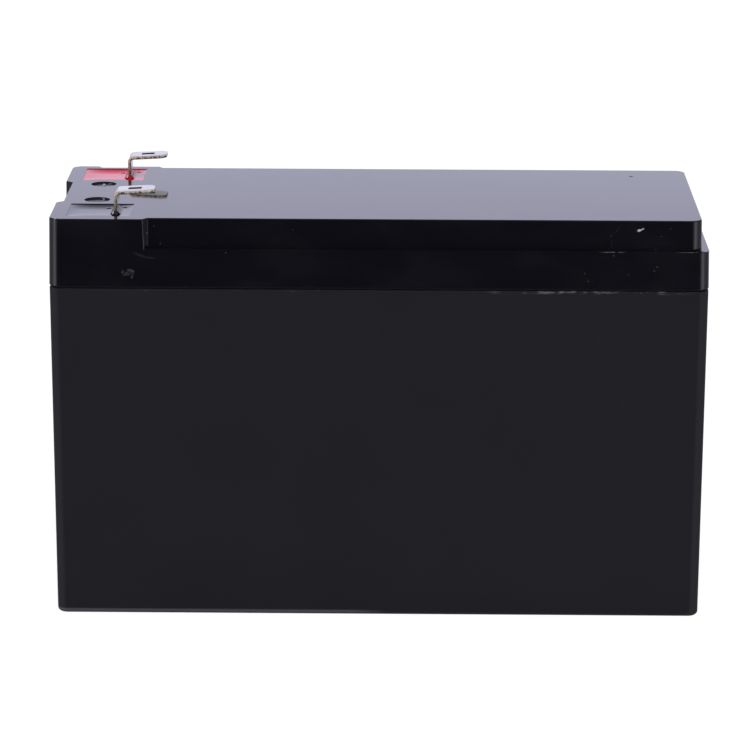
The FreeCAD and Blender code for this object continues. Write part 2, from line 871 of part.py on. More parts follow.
def make_plug():
    """The housing of the sense harness, pushed into the header."""
    half_x = header_half_length() - header_wall - plug_clearance
    z0 = board_top_z + header_wall + plug_clearance
    z1 = board_top_z + header_height - header_wall - plug_clearance
    inner_y = header_front_y + header_depth - header_wall - plug_clearance
    front_y = header_front_y - plug_stand_out
    body = box(-half_x, half_x, front_y, inner_y, z0, z1)
    latch_length, latch_width, latch_height = plug_latch
    latch = box(-latch_length / 2, latch_length / 2, front_y, front_y + latch_width, z1, z1 + latch_height)
    middle_z = (z0 + z1) / 2
    half_hole = header_pin_size / 2 + plug_clearance
    holes = []
    for index in range(contact_count):
        x = contact_x(index)
        holes.append(box(
            x - half_hole, x + half_hole, inner_y - header_pin_length, inner_y + 1,
            middle_z - half_hole, middle_z + half_hole,
        ))
    return body.fuse(latch).cut(holes).removeSplitter()


# Wires
def make_sense_wires():
    """One wire from each contact of the plug to its tail, in two lanes along the front."""
    plug_y = header_front_y - plug_stand_out
    plug_z = board_top_z + header_height / 2
    tail_top = top_strip_z + strip_thickness
    bottom_tail_top = bottom_strip_z + strip_thickness
    outer_lane = -block_half_width - sense_lane_overhang
    inner_lane = outer_lane + sense_lane_spacing
    tail_y = -block_half_width + 2 * sense_tail_end_gap + sense_wire_diameter / 4
    wires = {}
    for side in (-1, 1):
        end_x = side * last_group_x
        end_wire = [
            (side * 2 * contact_pitch, plug_y, plug_z),
            (side * 2 * contact_pitch, inner_lane, plug_z),
            (side * (last_group_x - sense_turn_length), inner_lane, plug_z - sense_wire_drop),
            (end_x, tail_y, tail_top + sense_turn_height),
            (end_x, tail_y, tail_top),
        ]
        link_x = side * cell_pitch
        link_wire = [
            (side * contact_pitch, plug_y, plug_z),
            (side * contact_pitch, outer_lane, plug_z),
            (side * (cell_pitch - sense_turn_length), outer_lane, plug_z - sense_wire_drop),
            (link_x, notch_y, tail_top + sense_turn_height - sense_wire_drop),
            (link_x, notch_y, bottom_tail_top),
        ]
        wires[3 + 2 * side] = end_wire
        wires[3 + side] = link_wire
    wires[3] = [(0, plug_y, plug_z), (0, tail_y, plug_z), (0, tail_y, tail_top)]
    made = {}
    for number in sorted(wires):
        name = "sense_wire_%d" % number
        made[name] = tube(name, wires[number], sense_wire_diameter)
    return made


def lead_joint(x0, x1, y, surface_z, axis_z):
    """The soldered end of a main lead, lying on its pad."""
    half = lead_joint_width / 2
    block = box(x0, x1, y - half, y + half, surface_z, axis_z + main_core_diameter / 2)
    top = [e for e in block.Edges if e.BoundBox.ZMin > surface_z + 0.01]
    return block.makeFillet(lead_joint_width / 5, top)


def blade_end(y):
    """The stripped end of a main lead, through the hole in the blade's foot."""
    start = blade_leg_x + blade_thickness / 2 + main_core_bare
    end = blade_leg_x - blade_thickness / 2 - main_core_past_blade
    point = Vector(start, y, blade_hole_z)
    return start, Part.makeCylinder(main_core_diameter / 2, start - end, point, Vector(-1, 0, 0))


def make_main_leads():
    lift = main_lead_diameter / 2 + main_lead_lift
    back_lane = block_half_width - lead_tail_end_gap - main_lead_diameter / 2
    top_y = well_centre_y
    start_x, back_core = blade_end(top_y)
    tail_x = last_group_x - lead_tail_width / 2
    back_z = top_strip_z + lift
    positive_points = [
        (tail_x, back_lane, back_z),
        (board_start_x + positive_climb_start, back_lane, back_z),
        (board_start_x + positive_climb_middle, back_lane, back_z + positive_climb_rise),
        (board_start_x + blade_approach, top_y, blade_hole_z),
        (start_x, top_y, blade_hole_z),
    ]
    positive = union([
        tube("positive_lead", positive_points, main_lead_diameter),
        back_core,
        lead_joint(tail_x, tail_x + lead_joint_length, back_lane, top_strip_z + strip_thickness, back_z),
    ])
    start_x, front_core = blade_end(-top_y)
    pad_x = board_start_x + negative_pad_end_margin
    front_z = board_top_z + lift
    negative_points = [
        (pad_x, negative_pad_y, front_z),
        (pad_x - negative_run, negative_pad_y, front_z),
        (board_start_x + negative_approach, -top_y, blade_hole_z),
        (start_x, -top_y, blade_hole_z),
    ]
    negative = union([
        tube("negative_lead", negative_points, main_lead_diameter),
        front_core,
        lead_joint(pad_x, pad_x + lead_joint_length, negative_pad_y, board_top_z, front_z),
    ])
    return {"positive_lead": positive, "negative_lead": negative}


def make_temperature_sensor():
    """A twin lead from the board's far edge to the bead between the cells."""
    x, y = sensor_place()
    lead_z = board_top_z + sensor_lead_diameter / 2
    bead_top = cell_top_z - sensor_depth
    points = [
        (board_end_x - sensor_lead_on_board, y, lead_z), (x, y, lead_z), (x, y, bead_top),
    ]
    lead = tube("temperature_sensor", points, sensor_lead_diameter)
    radius = sensor_bead_diameter / 2
    bead = Part.makeCylinder(radius, sensor_bead_length, Vector(x, y, bead_top - sensor_bead_length + radius))
    ends = [e for e in bead.Edges if e.BoundBox.ZMax - e.BoundBox.ZMin < 0.01]
    return lead.fuse(bead.makeFillet(0.9 * radius, ends)).removeSplitter()


def build():
    """Every piece by its name."""
    nodes = {"case": make_case(), "lid": make_lid()}
    for name, side in (("negative", -1), ("positive", 1)):
        blade = make_blade(name + "_tab", side)
        nodes[name + "_tab"] = blade
        nodes[name + "_well_resin"] = make_resin(side, blade)
    nodes.update(make_cells())
    nodes["cell_top_rings"] = make_cell_rings()
    nodes["lower_cell_holder"] = make_holder(
        lower_web_z, cell_bottom_z, cell_bottom_z + holder_pocket_depth
    )
    nodes["upper_cell_holder"] = make_holder(cell_top_z, cell_top_z - holder_pocket_depth, cell_top_z)
    nodes.update(make_links())
    nodes.update(make_insulators())
    nodes.update(make_foam())
    nodes["protection_board"] = make_board()
    nodes["power_transistors"] = make_transistors()
    nodes["shunt_resistors"] = row_of_chips(shunt_size, shunt_first, shunt_pitch, shunt_count, shunt_y)
    nodes["balance_resistors"] = row_of_chips(
        balance_size, balance_first, balance_pitch, balance_count, balance_y
    )
    nodes["controller_chip"] = make_controller_chip()
    nodes["balance_header"] = make_header()
    nodes["balance_plug"] = make_plug()
    nodes.update(make_sense_wires())
    nodes.update(make_main_leads())
    nodes["temperature_sensor"] = make_temperature_sensor()
    return nodes


os.makedirs("parts", exist_ok=True)
for node_name, shape in build().items():
    print(node_name, len(shape.Solids), "solids", round(shape.Volume, 1), "mm3", "valid", shape.isValid())
    shape.exportStep("parts/%s.step" % node_name)
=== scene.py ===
# Lithium iron phosphate battery in a glossy lid and a satin case, with two blade terminals.
# Lengths are in metres. The front of the object faces -Y and the terminals stand at -X.
import bmesh
import bpy
import math

from mathutils import Matrix, Vector


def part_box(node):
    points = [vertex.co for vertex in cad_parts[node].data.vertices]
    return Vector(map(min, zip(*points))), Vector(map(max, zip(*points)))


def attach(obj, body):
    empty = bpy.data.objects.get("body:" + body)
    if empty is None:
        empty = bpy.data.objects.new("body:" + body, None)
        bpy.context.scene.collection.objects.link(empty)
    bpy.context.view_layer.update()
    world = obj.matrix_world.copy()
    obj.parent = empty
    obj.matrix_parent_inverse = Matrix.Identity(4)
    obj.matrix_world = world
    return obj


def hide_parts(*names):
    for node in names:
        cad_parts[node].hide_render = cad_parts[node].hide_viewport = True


mm = 0.001

# Camera, solved from the edges of the case and the lid in the photograph
sensor_width = 36.0
lens_length = 177.03
camera_target = Vector((-1.072, 0.0, 49.828)) * mm
camera_distance = 880.5 * mm
camera_yaw = math.radians(-0.534)
camera_pitch = math.radians(13.954)
camera_roll = math.radians(-0.221)

# Case and lid
case_wall = 2.0 * mm
case_floor = 2.0 * mm
case_draft = 0.6 * mm
case_bottom_radius = 1.0 * mm
case_bottom_steps = 8
case_rim_radius = 0.1 * mm
cavity_corner_radius = 0.4 * mm
corner_radius = 2.5 * mm
corner_steps = 12
lid_wall = 2.0 * mm
lid_top_thickness = 2.5 * mm
lid_draft = 0.2 * mm
lid_top_edge = 0.26 * mm
lid_ledge_edge = 0.025 * mm
lid_bottom_edge = 0.05 * mm
pad_outer_edge = 0.24 * mm
pad_inner_edge = 0.08 * mm
lid_edge_steps = 4
seam_groove = 0.6 * mm
ledge_drop = 6.95 * mm
ledge_thickness = 2.0 * mm
tongue_thickness = 0.9 * mm
rebate_wall = 0.95 * mm

# Raised middle of the lid
set_back_side = 1.55 * mm
set_back_far_end = 1.6 * mm
set_back_near_end = 1.6 * mm
front_pad_length = 21.85 * mm
back_corner_pad_length = 6.6 * mm
back_pad_gap = 7.8 * mm
back_pad_length = 6.95 * mm
end_notch_width = 26.0 * mm
pad_end_reach = 3.0 * mm
pad_end_run = 0.6  # of the reach
front_pad_lean = 0.4 * mm
front_pad_cuts = 5

# Wells and round recesses
well_size = 14.6 * mm
well_end_margin = 3.9 * mm
well_side_margin = 3.5 * mm
well_depth = 6.5 * mm
well_wall = 1.5 * mm
well_corner_radius = 0.5 * mm
well_corner_steps = 6
rim_radius = 0.06 * mm
rim_steps = 3
recess_radius = 3.0 * mm
recess_depth = 0.4 * mm
recess_floor_radius = 0.25 * mm
recess_end_margin = 6.5 * mm
recess_spacing = 19.0 * mm
small_radius_steps = 4

# Broken-off sprue in the back recess, leaning to the right
gate_stub_radius = 0.35 * mm
gate_stub_height = 1.1 * mm
gate_stub_taper = 0.6
gate_stub_edge = 0.08 * mm
gate_stub_lean = 35.0  # degrees
gate_stub_offset = Vector((-0.35, -1.1, -0.3)) * mm

# Blades
blade_thickness = 0.8 * mm
blade_bend_radius = 0.5 * mm
blade_bend_steps = 10
blade_slope = 3.0  # degrees
blade_tip_radius = 2.0 * mm
blade_tip_steps = 6
blade_slot_length = 3.0 * mm
blade_slot_width = 2.0 * mm
blade_slot_corner_radius = 0.3 * mm
blade_slot_reach = 4.3 * mm
blade_hole_radius = 1.2 * mm
blade_hole_rise = 1.75 * mm
blade_slot_clearance = 0.15 * mm
blade_rollover = 0.1 * mm
burr_steps = 2

# Resin in the wells
resin_level = 0.45 * mm
resin_wall_rise = 0.31 * mm
resin_wall_decay = 2.2 * mm
resin_back_reach = 5.2 * mm
resin_leg_rise = 0.8 * mm
resin_leg_spread = 0.9 * mm
resin_leg_profile = 1.35
resin_steps = 96
resin_weld = 0.008 * mm
# Two short ripples beside each leg: offsets from it in x and y and half length in millimetres, and slope
resin_ripples = [(-2.1, 3.9, 0.62, 0.28), (1.6, 4.6, 0.55, -0.45)]
resin_ripple_width = 0.42  # millimetres
resin_ripple_rise = 0.075 * mm

# Heights this close count as one, and a cutter stands this far out of what it cuts
near = 0.01 * mm
room = 3.0 * mm

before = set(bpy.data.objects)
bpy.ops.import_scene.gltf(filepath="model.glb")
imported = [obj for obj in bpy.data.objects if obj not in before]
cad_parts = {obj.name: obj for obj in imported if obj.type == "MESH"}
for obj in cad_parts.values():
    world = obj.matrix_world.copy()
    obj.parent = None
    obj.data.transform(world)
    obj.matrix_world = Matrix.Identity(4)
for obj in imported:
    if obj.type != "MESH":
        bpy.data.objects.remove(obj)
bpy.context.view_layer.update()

# Sizes that come from the frame
lid_low, lid_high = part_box("lid")
case_low, case_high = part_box("case")
blade_low, blade_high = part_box("positive_tab")
lid_half_length = lid_high.x
lid_half_width = lid_high.y
lid_bottom = lid_low.z
lid_top = lid_high.z
lid_height = lid_top - lid_bottom
lid_under = lid_top - lid_top_thickness
ledge_height = lid_top - ledge_drop
seam_height = lid_bottom - seam_groove
tongue_top = case_high.z
case_half_length = case_high.x
case_half_width = case_high.y
well_x = -lid_half_length + well_end_margin + well_size / 2
well_y = lid_half_width - well_side_margin - well_size / 2
well_floor = lid_top - well_depth
well_under = well_floor - well_wall
recess_x = -lid_half_length + recess_end_margin + recess_radius
blade_width = blade_high.y - blade_low.y
leg_x = blade_low.x + blade_thickness / 2
blade_foot = blade_low.z


# Modelling tools
def deselect():
    bpy.ops.object.select_all(action="DESELECT")


def activate(piece):
    deselect()
    piece.select_set(True)
    bpy.context.view_layer.objects.active = piece


def edit(piece):
    activate(piece)
    bpy.ops.object.mode_set(mode="EDIT")


def leave_edit():
    bpy.ops.object.mode_set(mode="OBJECT")


def choose(piece, kind, test):
    """In edit mode, select only the vertices, edges or faces that pass the test."""
    bpy.ops.mesh.select_mode(type=kind)
    bpy.ops.mesh.select_all(action="DESELECT")
    mesh = bmesh.from_edit_mesh(piece.data)
    items = {"VERT": mesh.verts, "EDGE": mesh.edges, "FACE": mesh.faces}[kind]
    for item in items:
        if test(item):
            item.select_set(True)
    bmesh.update_edit_mesh(piece.data)


def upright(edge):
    start, end = (v.co for v in edge.verts)
    return abs(start.z - end.z) > 0.9 * (start - end).length


def level_at(height):
    """A test for edges and faces that lie at one height."""
    return lambda item: all(abs(v.co.z - height) < near for v in item.verts)


def sharp(edge):
    return len(edge.link_faces) == 2 and edge.calc_face_angle() > math.radians(30)


def settle(name):
    """Names the primitive that was just added and puts its place in its mesh."""
    piece = bpy.context.object
    piece.name = name
    bpy.ops.object.transform_apply(location=True, rotation=True, scale=True)
    return piece


def block(name, low, high):
    """A box between two corners."""
    deselect()
    low = Vector(low)
    high = Vector(high)
    bpy.ops.mesh.primitive_cube_add(size=1, location=(low + high) / 2, scale=high - low)
    return settle(name)


def disc(name, x, y, low, high, radius, sides=64):
    """An upright cylinder."""
    deselect()
    bpy.ops.mesh.primitive_cylinder_add(
        vertices=sides, radius=radius, depth=high - low, location=(x, y, (low + high) / 2)
    )
    return settle(name)


def spread(piece, height, reach_x, reach_y, by):
    """Moves the walls of a block outwards at one height, for draft."""
    edit(piece)
    choose(piece, "VERT", lambda v: abs(v.co.z - height) < near)
    middle = sum((v.co for v in piece.data.vertices), Vector()) / len(piece.data.vertices)
    bpy.ops.transform.resize(
        value=(1 + by / reach_x, 1 + by / reach_y, 1), center_override=(middle.x, middle.y, height)
    )
    leave_edit()


def round_edges(piece, test, radius, steps):
    edit(piece)
    choose(piece, "EDGE", test)
    bpy.ops.mesh.bevel(offset=radius, offset_type="OFFSET", segments=steps, affect="EDGES")
    leave_edit()


def round_by_kind(piece, radius_of, widest, steps):
    """Rounds each sharp edge by its own radius, all in one go so that they meet cleanly."""
    mesh = bmesh.new()
    mesh.from_mesh(piece.data)
    weight = mesh.edges.layers.float.new("bevel_weight_edge")
    for edge in mesh.edges:
        if sharp(edge):
            edge[weight] = radius_of(edge) / widest
    mesh.to_mesh(piece.data)
    mesh.free()
    activate(piece)
    change = piece.modifiers.new("rounding", "BEVEL")
    change.limit_method = "WEIGHT"
    change.offset_type = "OFFSET"
    change.width = widest
    change.segments = steps
    change.use_clamp_overlap = False
    bpy.ops.object.modifier_apply(modifier=change.name)


def combine(piece, operation, *tools):
    """Cuts the tools out of a piece, or joins them to it."""
    for tool in tools:
        activate(piece)
        change = piece.modifiers.new("combine", "BOOLEAN")
        change.operation = operation
        change.solver = "EXACT"
        change.object = tool
        bpy.ops.object.modifier_apply(modifier=change.name)
        bpy.data.objects.remove(tool)


def smooth(piece, angle=32.0):
    """Smooth shading up to an angle, with the large flat faces kept flat."""
    activate(piece)
    bpy.ops.object.shade_smooth_by_angle(angle=math.radians(angle))
    weighting = piece.modifiers.new("flat faces", "WEIGHTED_NORMAL")
    weighting.keep_sharp = True
    bpy.ops.object.modifier_apply(modifier=weighting.name)


def merge(piece, gap=0.002 * mm):
    """Joins corners that lie closer than the gap and drops the faces that this leaves flat."""
    edit(piece)
    bpy.ops.mesh.select_all(action="SELECT")
    bpy.ops.mesh.remove_doubles(threshold=gap)
    bpy.ops.mesh.dissolve_degenerate(threshold=0.001 * mm)
    leave_edit()


# Case
def case_block(name, low, high, taken_in, radius):
    """A block inside the case's drafted outside, taken in by the same distance on each side."""
    fall_low, fall_high = (case_draft * (seam_height - z) / seam_height for z in (low, high))
    reach_x = case_half_length - fall_low - taken_in
    reach_y = case_half_width - fall_low - taken_in
    piece = block(name, (-reach_x, -reach_y, low), (reach_x, reach_y, high))
    spread(piece, high, reach_x, reach_y, fall_low - fall_high)
    round_edges(piece, upright, radius, corner_steps)
    return piece


def make_case():
    shell = case_block("case_shell", 0.0, seam_height, 0.0, corner_radius)
    round_edges(shell, level_at(0.0), case_bottom_radius, case_bottom_steps)
    edit(shell)
    choose(shell, "FACE", level_at(seam_height))
    bpy.ops.mesh.inset(thickness=case_wall - tongue_thickness)
    bpy.ops.mesh.extrude_region_move(
        TRANSFORM_OT_translate={"value": (0, 0, tongue_top - seam_height)}
    )
    leave_edit()
    cavity = case_block("cavity", case_floor, tongue_top + room, case_wall, cavity_corner_radius)
    combine(shell, "DIFFERENCE", cavity)
    rim = level_at(seam_height)
    round_edges(shell, lambda e: rim(e) and sharp(e) and e.is_convex, case_rim_radius, rim_steps)
    merge(shell)
    smooth(shell)
    return shell


# Lid
def lid_block(name, low, high, near_end, far_end, side, radius):
    """A block inside the lid's leaning outside, set back from its ends and sides."""
    fall_low, fall_high = (lid_draft * (z - lid_bottom) / lid_height for z in (low, high))
    x0 = -lid_half_length + fall_low + near_end
    x1 = lid_half_length - fall_low - far_end
    reach_y = lid_half_width - fall_low - side
    piece = block(name, (x0, -reach_y, low), (x1, reach_y, high))
    spread(piece, high, (x1 - x0) / 2, reach_y, fall_low - fall_high)
    round_edges(piece, upright, radius, corner_steps)
    return piece


def slanted_block(name, low, high, shifts):
    """A block whose upright edges are moved in plan: which side in x and in y, how far in x and in y."""
    piece = block(name, low, high)
    middle = (Vector(low) + Vector(high)) / 2
    edit(piece)
    for side_x, side_y, by_x, by_y in shifts:
        sides = Vector((side_x, side_y))
        choose(piece, "VERT", lambda v: min((v.co - middle).xy * sides) > 0)
        bpy.ops.transform.translate(value=(by_x, by_y, 0))
    leave_edit()
    return piece


def side_pad(name, side, start, end, slanted_ends, lean=0.0):
    """A pad in the lid's side face, with slanted ends at start, end or both."""
    reach = pad_end_reach
    run = pad_end_run * reach
    face = lid_half_width - lid_draft
    y0, y1 = sorted((side * (face - reach), side * (face + reach)))
    shifts = []
    for end_side in slanted_ends:
        shifts += [(end_side, side, -end_side * run, 0), (end_side, -side, end_side * run, 0)]
    pad = slanted_block(name, (start, y0, ledge_height - room), (end, y1, lid_top + room), shifts)
    if lean:
        lean_pad_end(pad, side, (start + end) / 2, lean)
    return pad


def lean_pad_end(pad, side, middle, lean):
    """Leans the outer edge of a pad's end, while the edge at the set-back face stays upright."""
    face = lid_half_width - lid_draft
    half_height = (lid_top + ledge_height) / 2
    edit(pad)
    for depth in (-pad_end_reach, pad_end_reach):
        y = side * (face - depth)
        for z in (ledge_height - room, lid_top + room):
            by = lean * (half_height - z) / ledge_drop * (1 - depth / set_back_side)
            corner = Vector((0, y, z))
            choose(pad, "VERT", lambda v: v.co.x > middle and (v.co - corner).yz.length < near)
            bpy.ops.transform.translate(value=(by, 0, 0))
    choose(pad, "FACE", lambda f: all(v.co.x > middle for v in f.verts))
    bpy.ops.mesh.subdivide(number_cuts=front_pad_cuts)
    leave_edit()


def end_pad(name, side):
    """The part of a corner pad that lies in the terminal end face, up to the notch."""
    reach = pad_end_reach
    y0, y1 = sorted((side * end_notch_width / 2, side * (lid_half_width + reach)))
    shifts = [(-1, -side, 0, side * reach), (1, -side, 0, -side * reach)]
    low = (-lid_half_length - reach, y0, ledge_height - room)
    return slanted_block(name, low, (-lid_half_length + reach, y1, lid_top + room), shifts)


def make_trim():
    """What is cut from the lid's block to leave the raised middle and its pads."""
    trim = block(
        "trim",
        (-lid_half_length - room, -lid_half_width - room, ledge_height),
        (lid_half_length + room, lid_half_width + room, lid_top + room / 2),
    )
    raised = lid_block(
        "raised", ledge_height - room, lid_top + room,
        set_back_near_end, set_back_far_end, set_back_side, corner_radius,
    )
    near_end = -lid_half_length
    beyond = near_end - 2 * pad_end_reach
    back_pad_start = near_end + back_corner_pad_length + back_pad_gap
    combine(
        trim, "DIFFERENCE", raised,
        side_pad("front_pad", -1, beyond, near_end + front_pad_length, [1], front_pad_lean),
        side_pad("back_corner_pad", 1, beyond, near_end + back_corner_pad_length, [1]),
        side_pad("back_pad", 1, back_pad_start, back_pad_start + back_pad_length, [-1, 1]),
        end_pad("front_end_pad", -1),
        end_pad("back_end_pad", 1),
    )
    return trim


def well_block(name, side, size, low, high, radius):
    half = size / 2
    y = side * well_y
    piece = block(name, (well_x - half, y - half, low), (well_x + half, y + half, high))
    round_edges(piece, upright, radius, well_corner_steps)
    return piece


def lid_edge_radius(edge):
    """How far each kind of edge on the outside of the lid is rounded."""
    if upright(edge):
        return pad_outer_edge if edge.is_convex else pad_inner_edge
    if level_at(lid_top)(edge):
        return lid_top_edge
    if level_at(lid_bottom)(edge):
        return lid_bottom_edge
    return lid_ledge_edge if edge.is_convex else 0.0


def make_lid():
    shell = lid_block("lid_shell", lid_bottom, lid_top, 0, 0, 0, corner_radius)
    combine(shell, "DIFFERENCE", make_trim())
    merge(shell)
    round_by_kind(shell, lid_edge_radius, lid_top_edge, lid_edge_steps)
    combine(
        shell, "DIFFERENCE",
        lid_block("rebate", lid_bottom - room, tongue_top, *3 * (rebate_wall,), corner_radius / 2),
        lid_block(
            "low_hollow", lid_bottom - room, ledge_height - ledge_thickness,
            *3 * (lid_wall,), corner_radius / 2,
        ),
        lid_block(
            "high_hollow", ledge_height - ledge_thickness - lid_wall, lid_under,
            set_back_near_end + lid_wall, set_back_far_end + lid_wall, set_back_side + lid_wall,
            corner_radius / 2,
        ),
    )
    outer_size = well_size + 2 * well_wall
    walls_top = lid_under + well_wall / 2
    for side in (-1, 1):
        walls = well_block("well_walls", side, outer_size, well_under, walls_top, well_wall)
        combine(shell, "UNION", walls)
    half_slot = Vector((blade_thickness, blade_width, 0)) / 2
    half_slot += blade_slot_clearance * Vector((1, 1, 0))
    for side in (-1, 1):
        y = side * well_y
        slot = block(
            "blade_slot",
            Vector((leg_x, y, well_under - room)) - half_slot,
            Vector((leg_x, y, well_floor + room)) + half_slot,
        )
        well = well_block("well", side, well_size, well_floor, lid_top + room, well_corner_radius)
        recess_y = side * recess_spacing / 2
        floor_height = lid_top - recess_depth
        recess = disc("recess", recess_x, recess_y, floor_height, lid_top + room, recess_radius)
        round_edges(recess, level_at(floor_height), recess_floor_radius, small_radius_steps)
        combine(shell, "DIFFERENCE", well, slot, recess)
    merge(shell)
    rim = level_at(lid_top)
    round_edges(shell, lambda e: rim(e) and sharp(e), rim_radius, rim_steps)
    merge(shell)
    smooth(shell)
    return shell


def make_gate_stub():
    stub = disc("recess_gate_stub", 0, 0, 0, gate_stub_height, gate_stub_radius, 16)
    edit(stub)
    choose(stub, "VERT", lambda v: v.co.z > gate_stub_height / 2)
    bpy.ops.transform.resize(
        value=(gate_stub_taper, gate_stub_taper, 1), center_override=(0, 0, gate_stub_height)
    )
    leave_edit()
    round_edges(stub, sharp, gate_stub_edge, burr_steps)
    lean = Matrix.Rotation(math.radians(gate_stub_lean), 4, "Y")
    place = Vector((recess_x, recess_spacing / 2, lid_top - recess_depth)) + gate_stub_offset
    stub.data.transform(Matrix.Translation(place) @ lean)
    smooth(stub, 50)
    return stub


# Blades
def make_blade(name, side):
    """The leg from its foot up through the resin, the bend and the arm, drawn out of one strip."""
    y = side * well_y
    half = blade_thickness / 2
    slope = math.radians(blade_slope)
    along = Vector((math.cos(slope), 0, math.sin(slope)))
    upward = Vector((-math.sin(slope), 0, math.cos(slope)))
    middle_radius = blade_bend_radius + half
    tip_top = blade_high.z
    tip_middle = Vector((blade_high.x, y, tip_top)) - upward * half
    turn = math.radians(90 - blade_slope)
    corner = tip_middle + along * (leg_x - tip_middle.x) / along.x
    bend_start = corner.z - middle_radius * math.tan(turn / 2)
    blade = block(
        name,
        (leg_x - half, y - blade_width / 2, blade_foot),
        (leg_x + half, y + blade_width / 2, bend_start),
    )
    edit(blade)
    choose(blade, "FACE", level_at(bend_start))
    bpy.ops.mesh.spin(
        steps=blade_bend_steps, angle=-turn,
        center=(leg_x + middle_radius, y, bend_start), axis=(0, 1, 0),
    )
    arm_start = corner + along * middle_radius * math.tan(turn / 2)
    bpy.ops.mesh.extrude_region_move(TRANSFORM_OT_translate={"value": tip_middle - arm_start})
    leave_edit()

    def tip_corner(edge):
        start, end = (v.co for v in edge.verts)
        through = abs((start - end).dot(upward)) > 0.9 * blade_thickness
        return through and min(start.x, end.x) > tip_middle.x - blade_tip_radius

    round_edges(blade, tip_corner, blade_tip_radius, blade_tip_steps)
    slot_x = leg_x + blade_slot_reach
    slot = block(
        "slot",
        (slot_x - blade_slot_length / 2, y - blade_slot_width / 2, lid_top + room / 2),
        (slot_x + blade_slot_length / 2, y + blade_slot_width / 2, tip_top + room),
    )
    round_edges(slot, upright, blade_slot_corner_radius, small_radius_steps)
    hole = disc("hole", 0, 0, -room, room, blade_hole_radius, 32)
    sideways = Matrix.Rotation(math.radians(90), 4, "Y")
    hole.data.transform(Matrix.Translation((leg_x, y, blade_foot + blade_hole_rise)) @ sideways)
    combine(blade, "DIFFERENCE", slot, hole)
    merge(blade)
    round_edges(blade, sharp, blade_rollover, burr_steps)
    smooth(blade, 40)
    return blade


# Resin
def resin_surface(x, y):
    """Height of the cast surface over a point, by its distance from the well's walls and the leg."""
    back_share = max(1 - max(well_size / 2 - y, 0) / resin_back_reach, 0)
    flat = 1 - back_share**2
    for gap in (well_size / 2 - x, well_size / 2 + x, well_size / 2 + y):
        flat *= 1 - math.exp(-max(gap, 0) / resin_wall_decay)
    height = lid_top - resin_level + resin_wall_rise * (1 - flat)
    from_leg = x - (leg_x - well_x)
    leg = math.hypot(
        max(abs(from_leg) - blade_thickness / 2, 0), max(abs(y) - blade_width / 2, 0)
    )
    share = max(1 - leg / resin_leg_spread, 0)
    height += resin_leg_rise * share**resin_leg_profile
    for side_x, place_y, half_length, lean in resin_ripples:
        along = from_leg / mm - side_x
        across = (y / mm - place_y - lean * along) / resin_ripple_width
        height += resin_ripple_rise * math.exp(-(along / half_length) ** 4 - across**2)
    return height


def make_resin(name, side, blade):
    """The cast filling of one well, from a grid that is drawn down to the well's floor."""
    y = side * well_y
    deselect()
    bpy.ops.mesh.primitive_grid_add(
        x_subdivisions=resin_steps, y_subdivisions=resin_steps, size=well_size,
        location=(well_x, y, well_floor),
    )
    resin = settle(name)
    edit(resin)
    bpy.ops.mesh.select_mode(type="FACE")
    bpy.ops.mesh.select_all(action="SELECT")
    bpy.ops.mesh.extrude_region_move(TRANSFORM_OT_translate={"value": (0, 0, well_depth / 2)})
    leave_edit()
    for vertex in resin.data.vertices:
        if vertex.co.z > well_floor + near:
            vertex.co.z = resin_surface(vertex.co.x - well_x, vertex.co.y - y)
    edit(resin)
    bpy.ops.mesh.select_all(action="SELECT")
    bpy.ops.mesh.normals_make_consistent(inside=False)
    leave_edit()
    deselect()
    tool = blade.copy()
    tool.data = blade.data.copy()
    bpy.context.scene.collection.objects.link(tool)
    combine(resin, "DIFFERENCE", tool)
    merge(resin, resin_weld)
    smooth(resin, 40)
    return resin


# Materials
def feed(tree, socket, value):
    if isinstance(value, bpy.types.NodeSocket):
        tree.links.new(value, socket)
    else:
        socket.default_value = value


def add_node(tree, kind, inputs, **settings):
    node = tree.nodes.new(kind)
    for key, value in settings.items():
        setattr(node, key, value)
    for key, value in inputs.items():
        feed(tree, node.inputs[key], value)
    return node


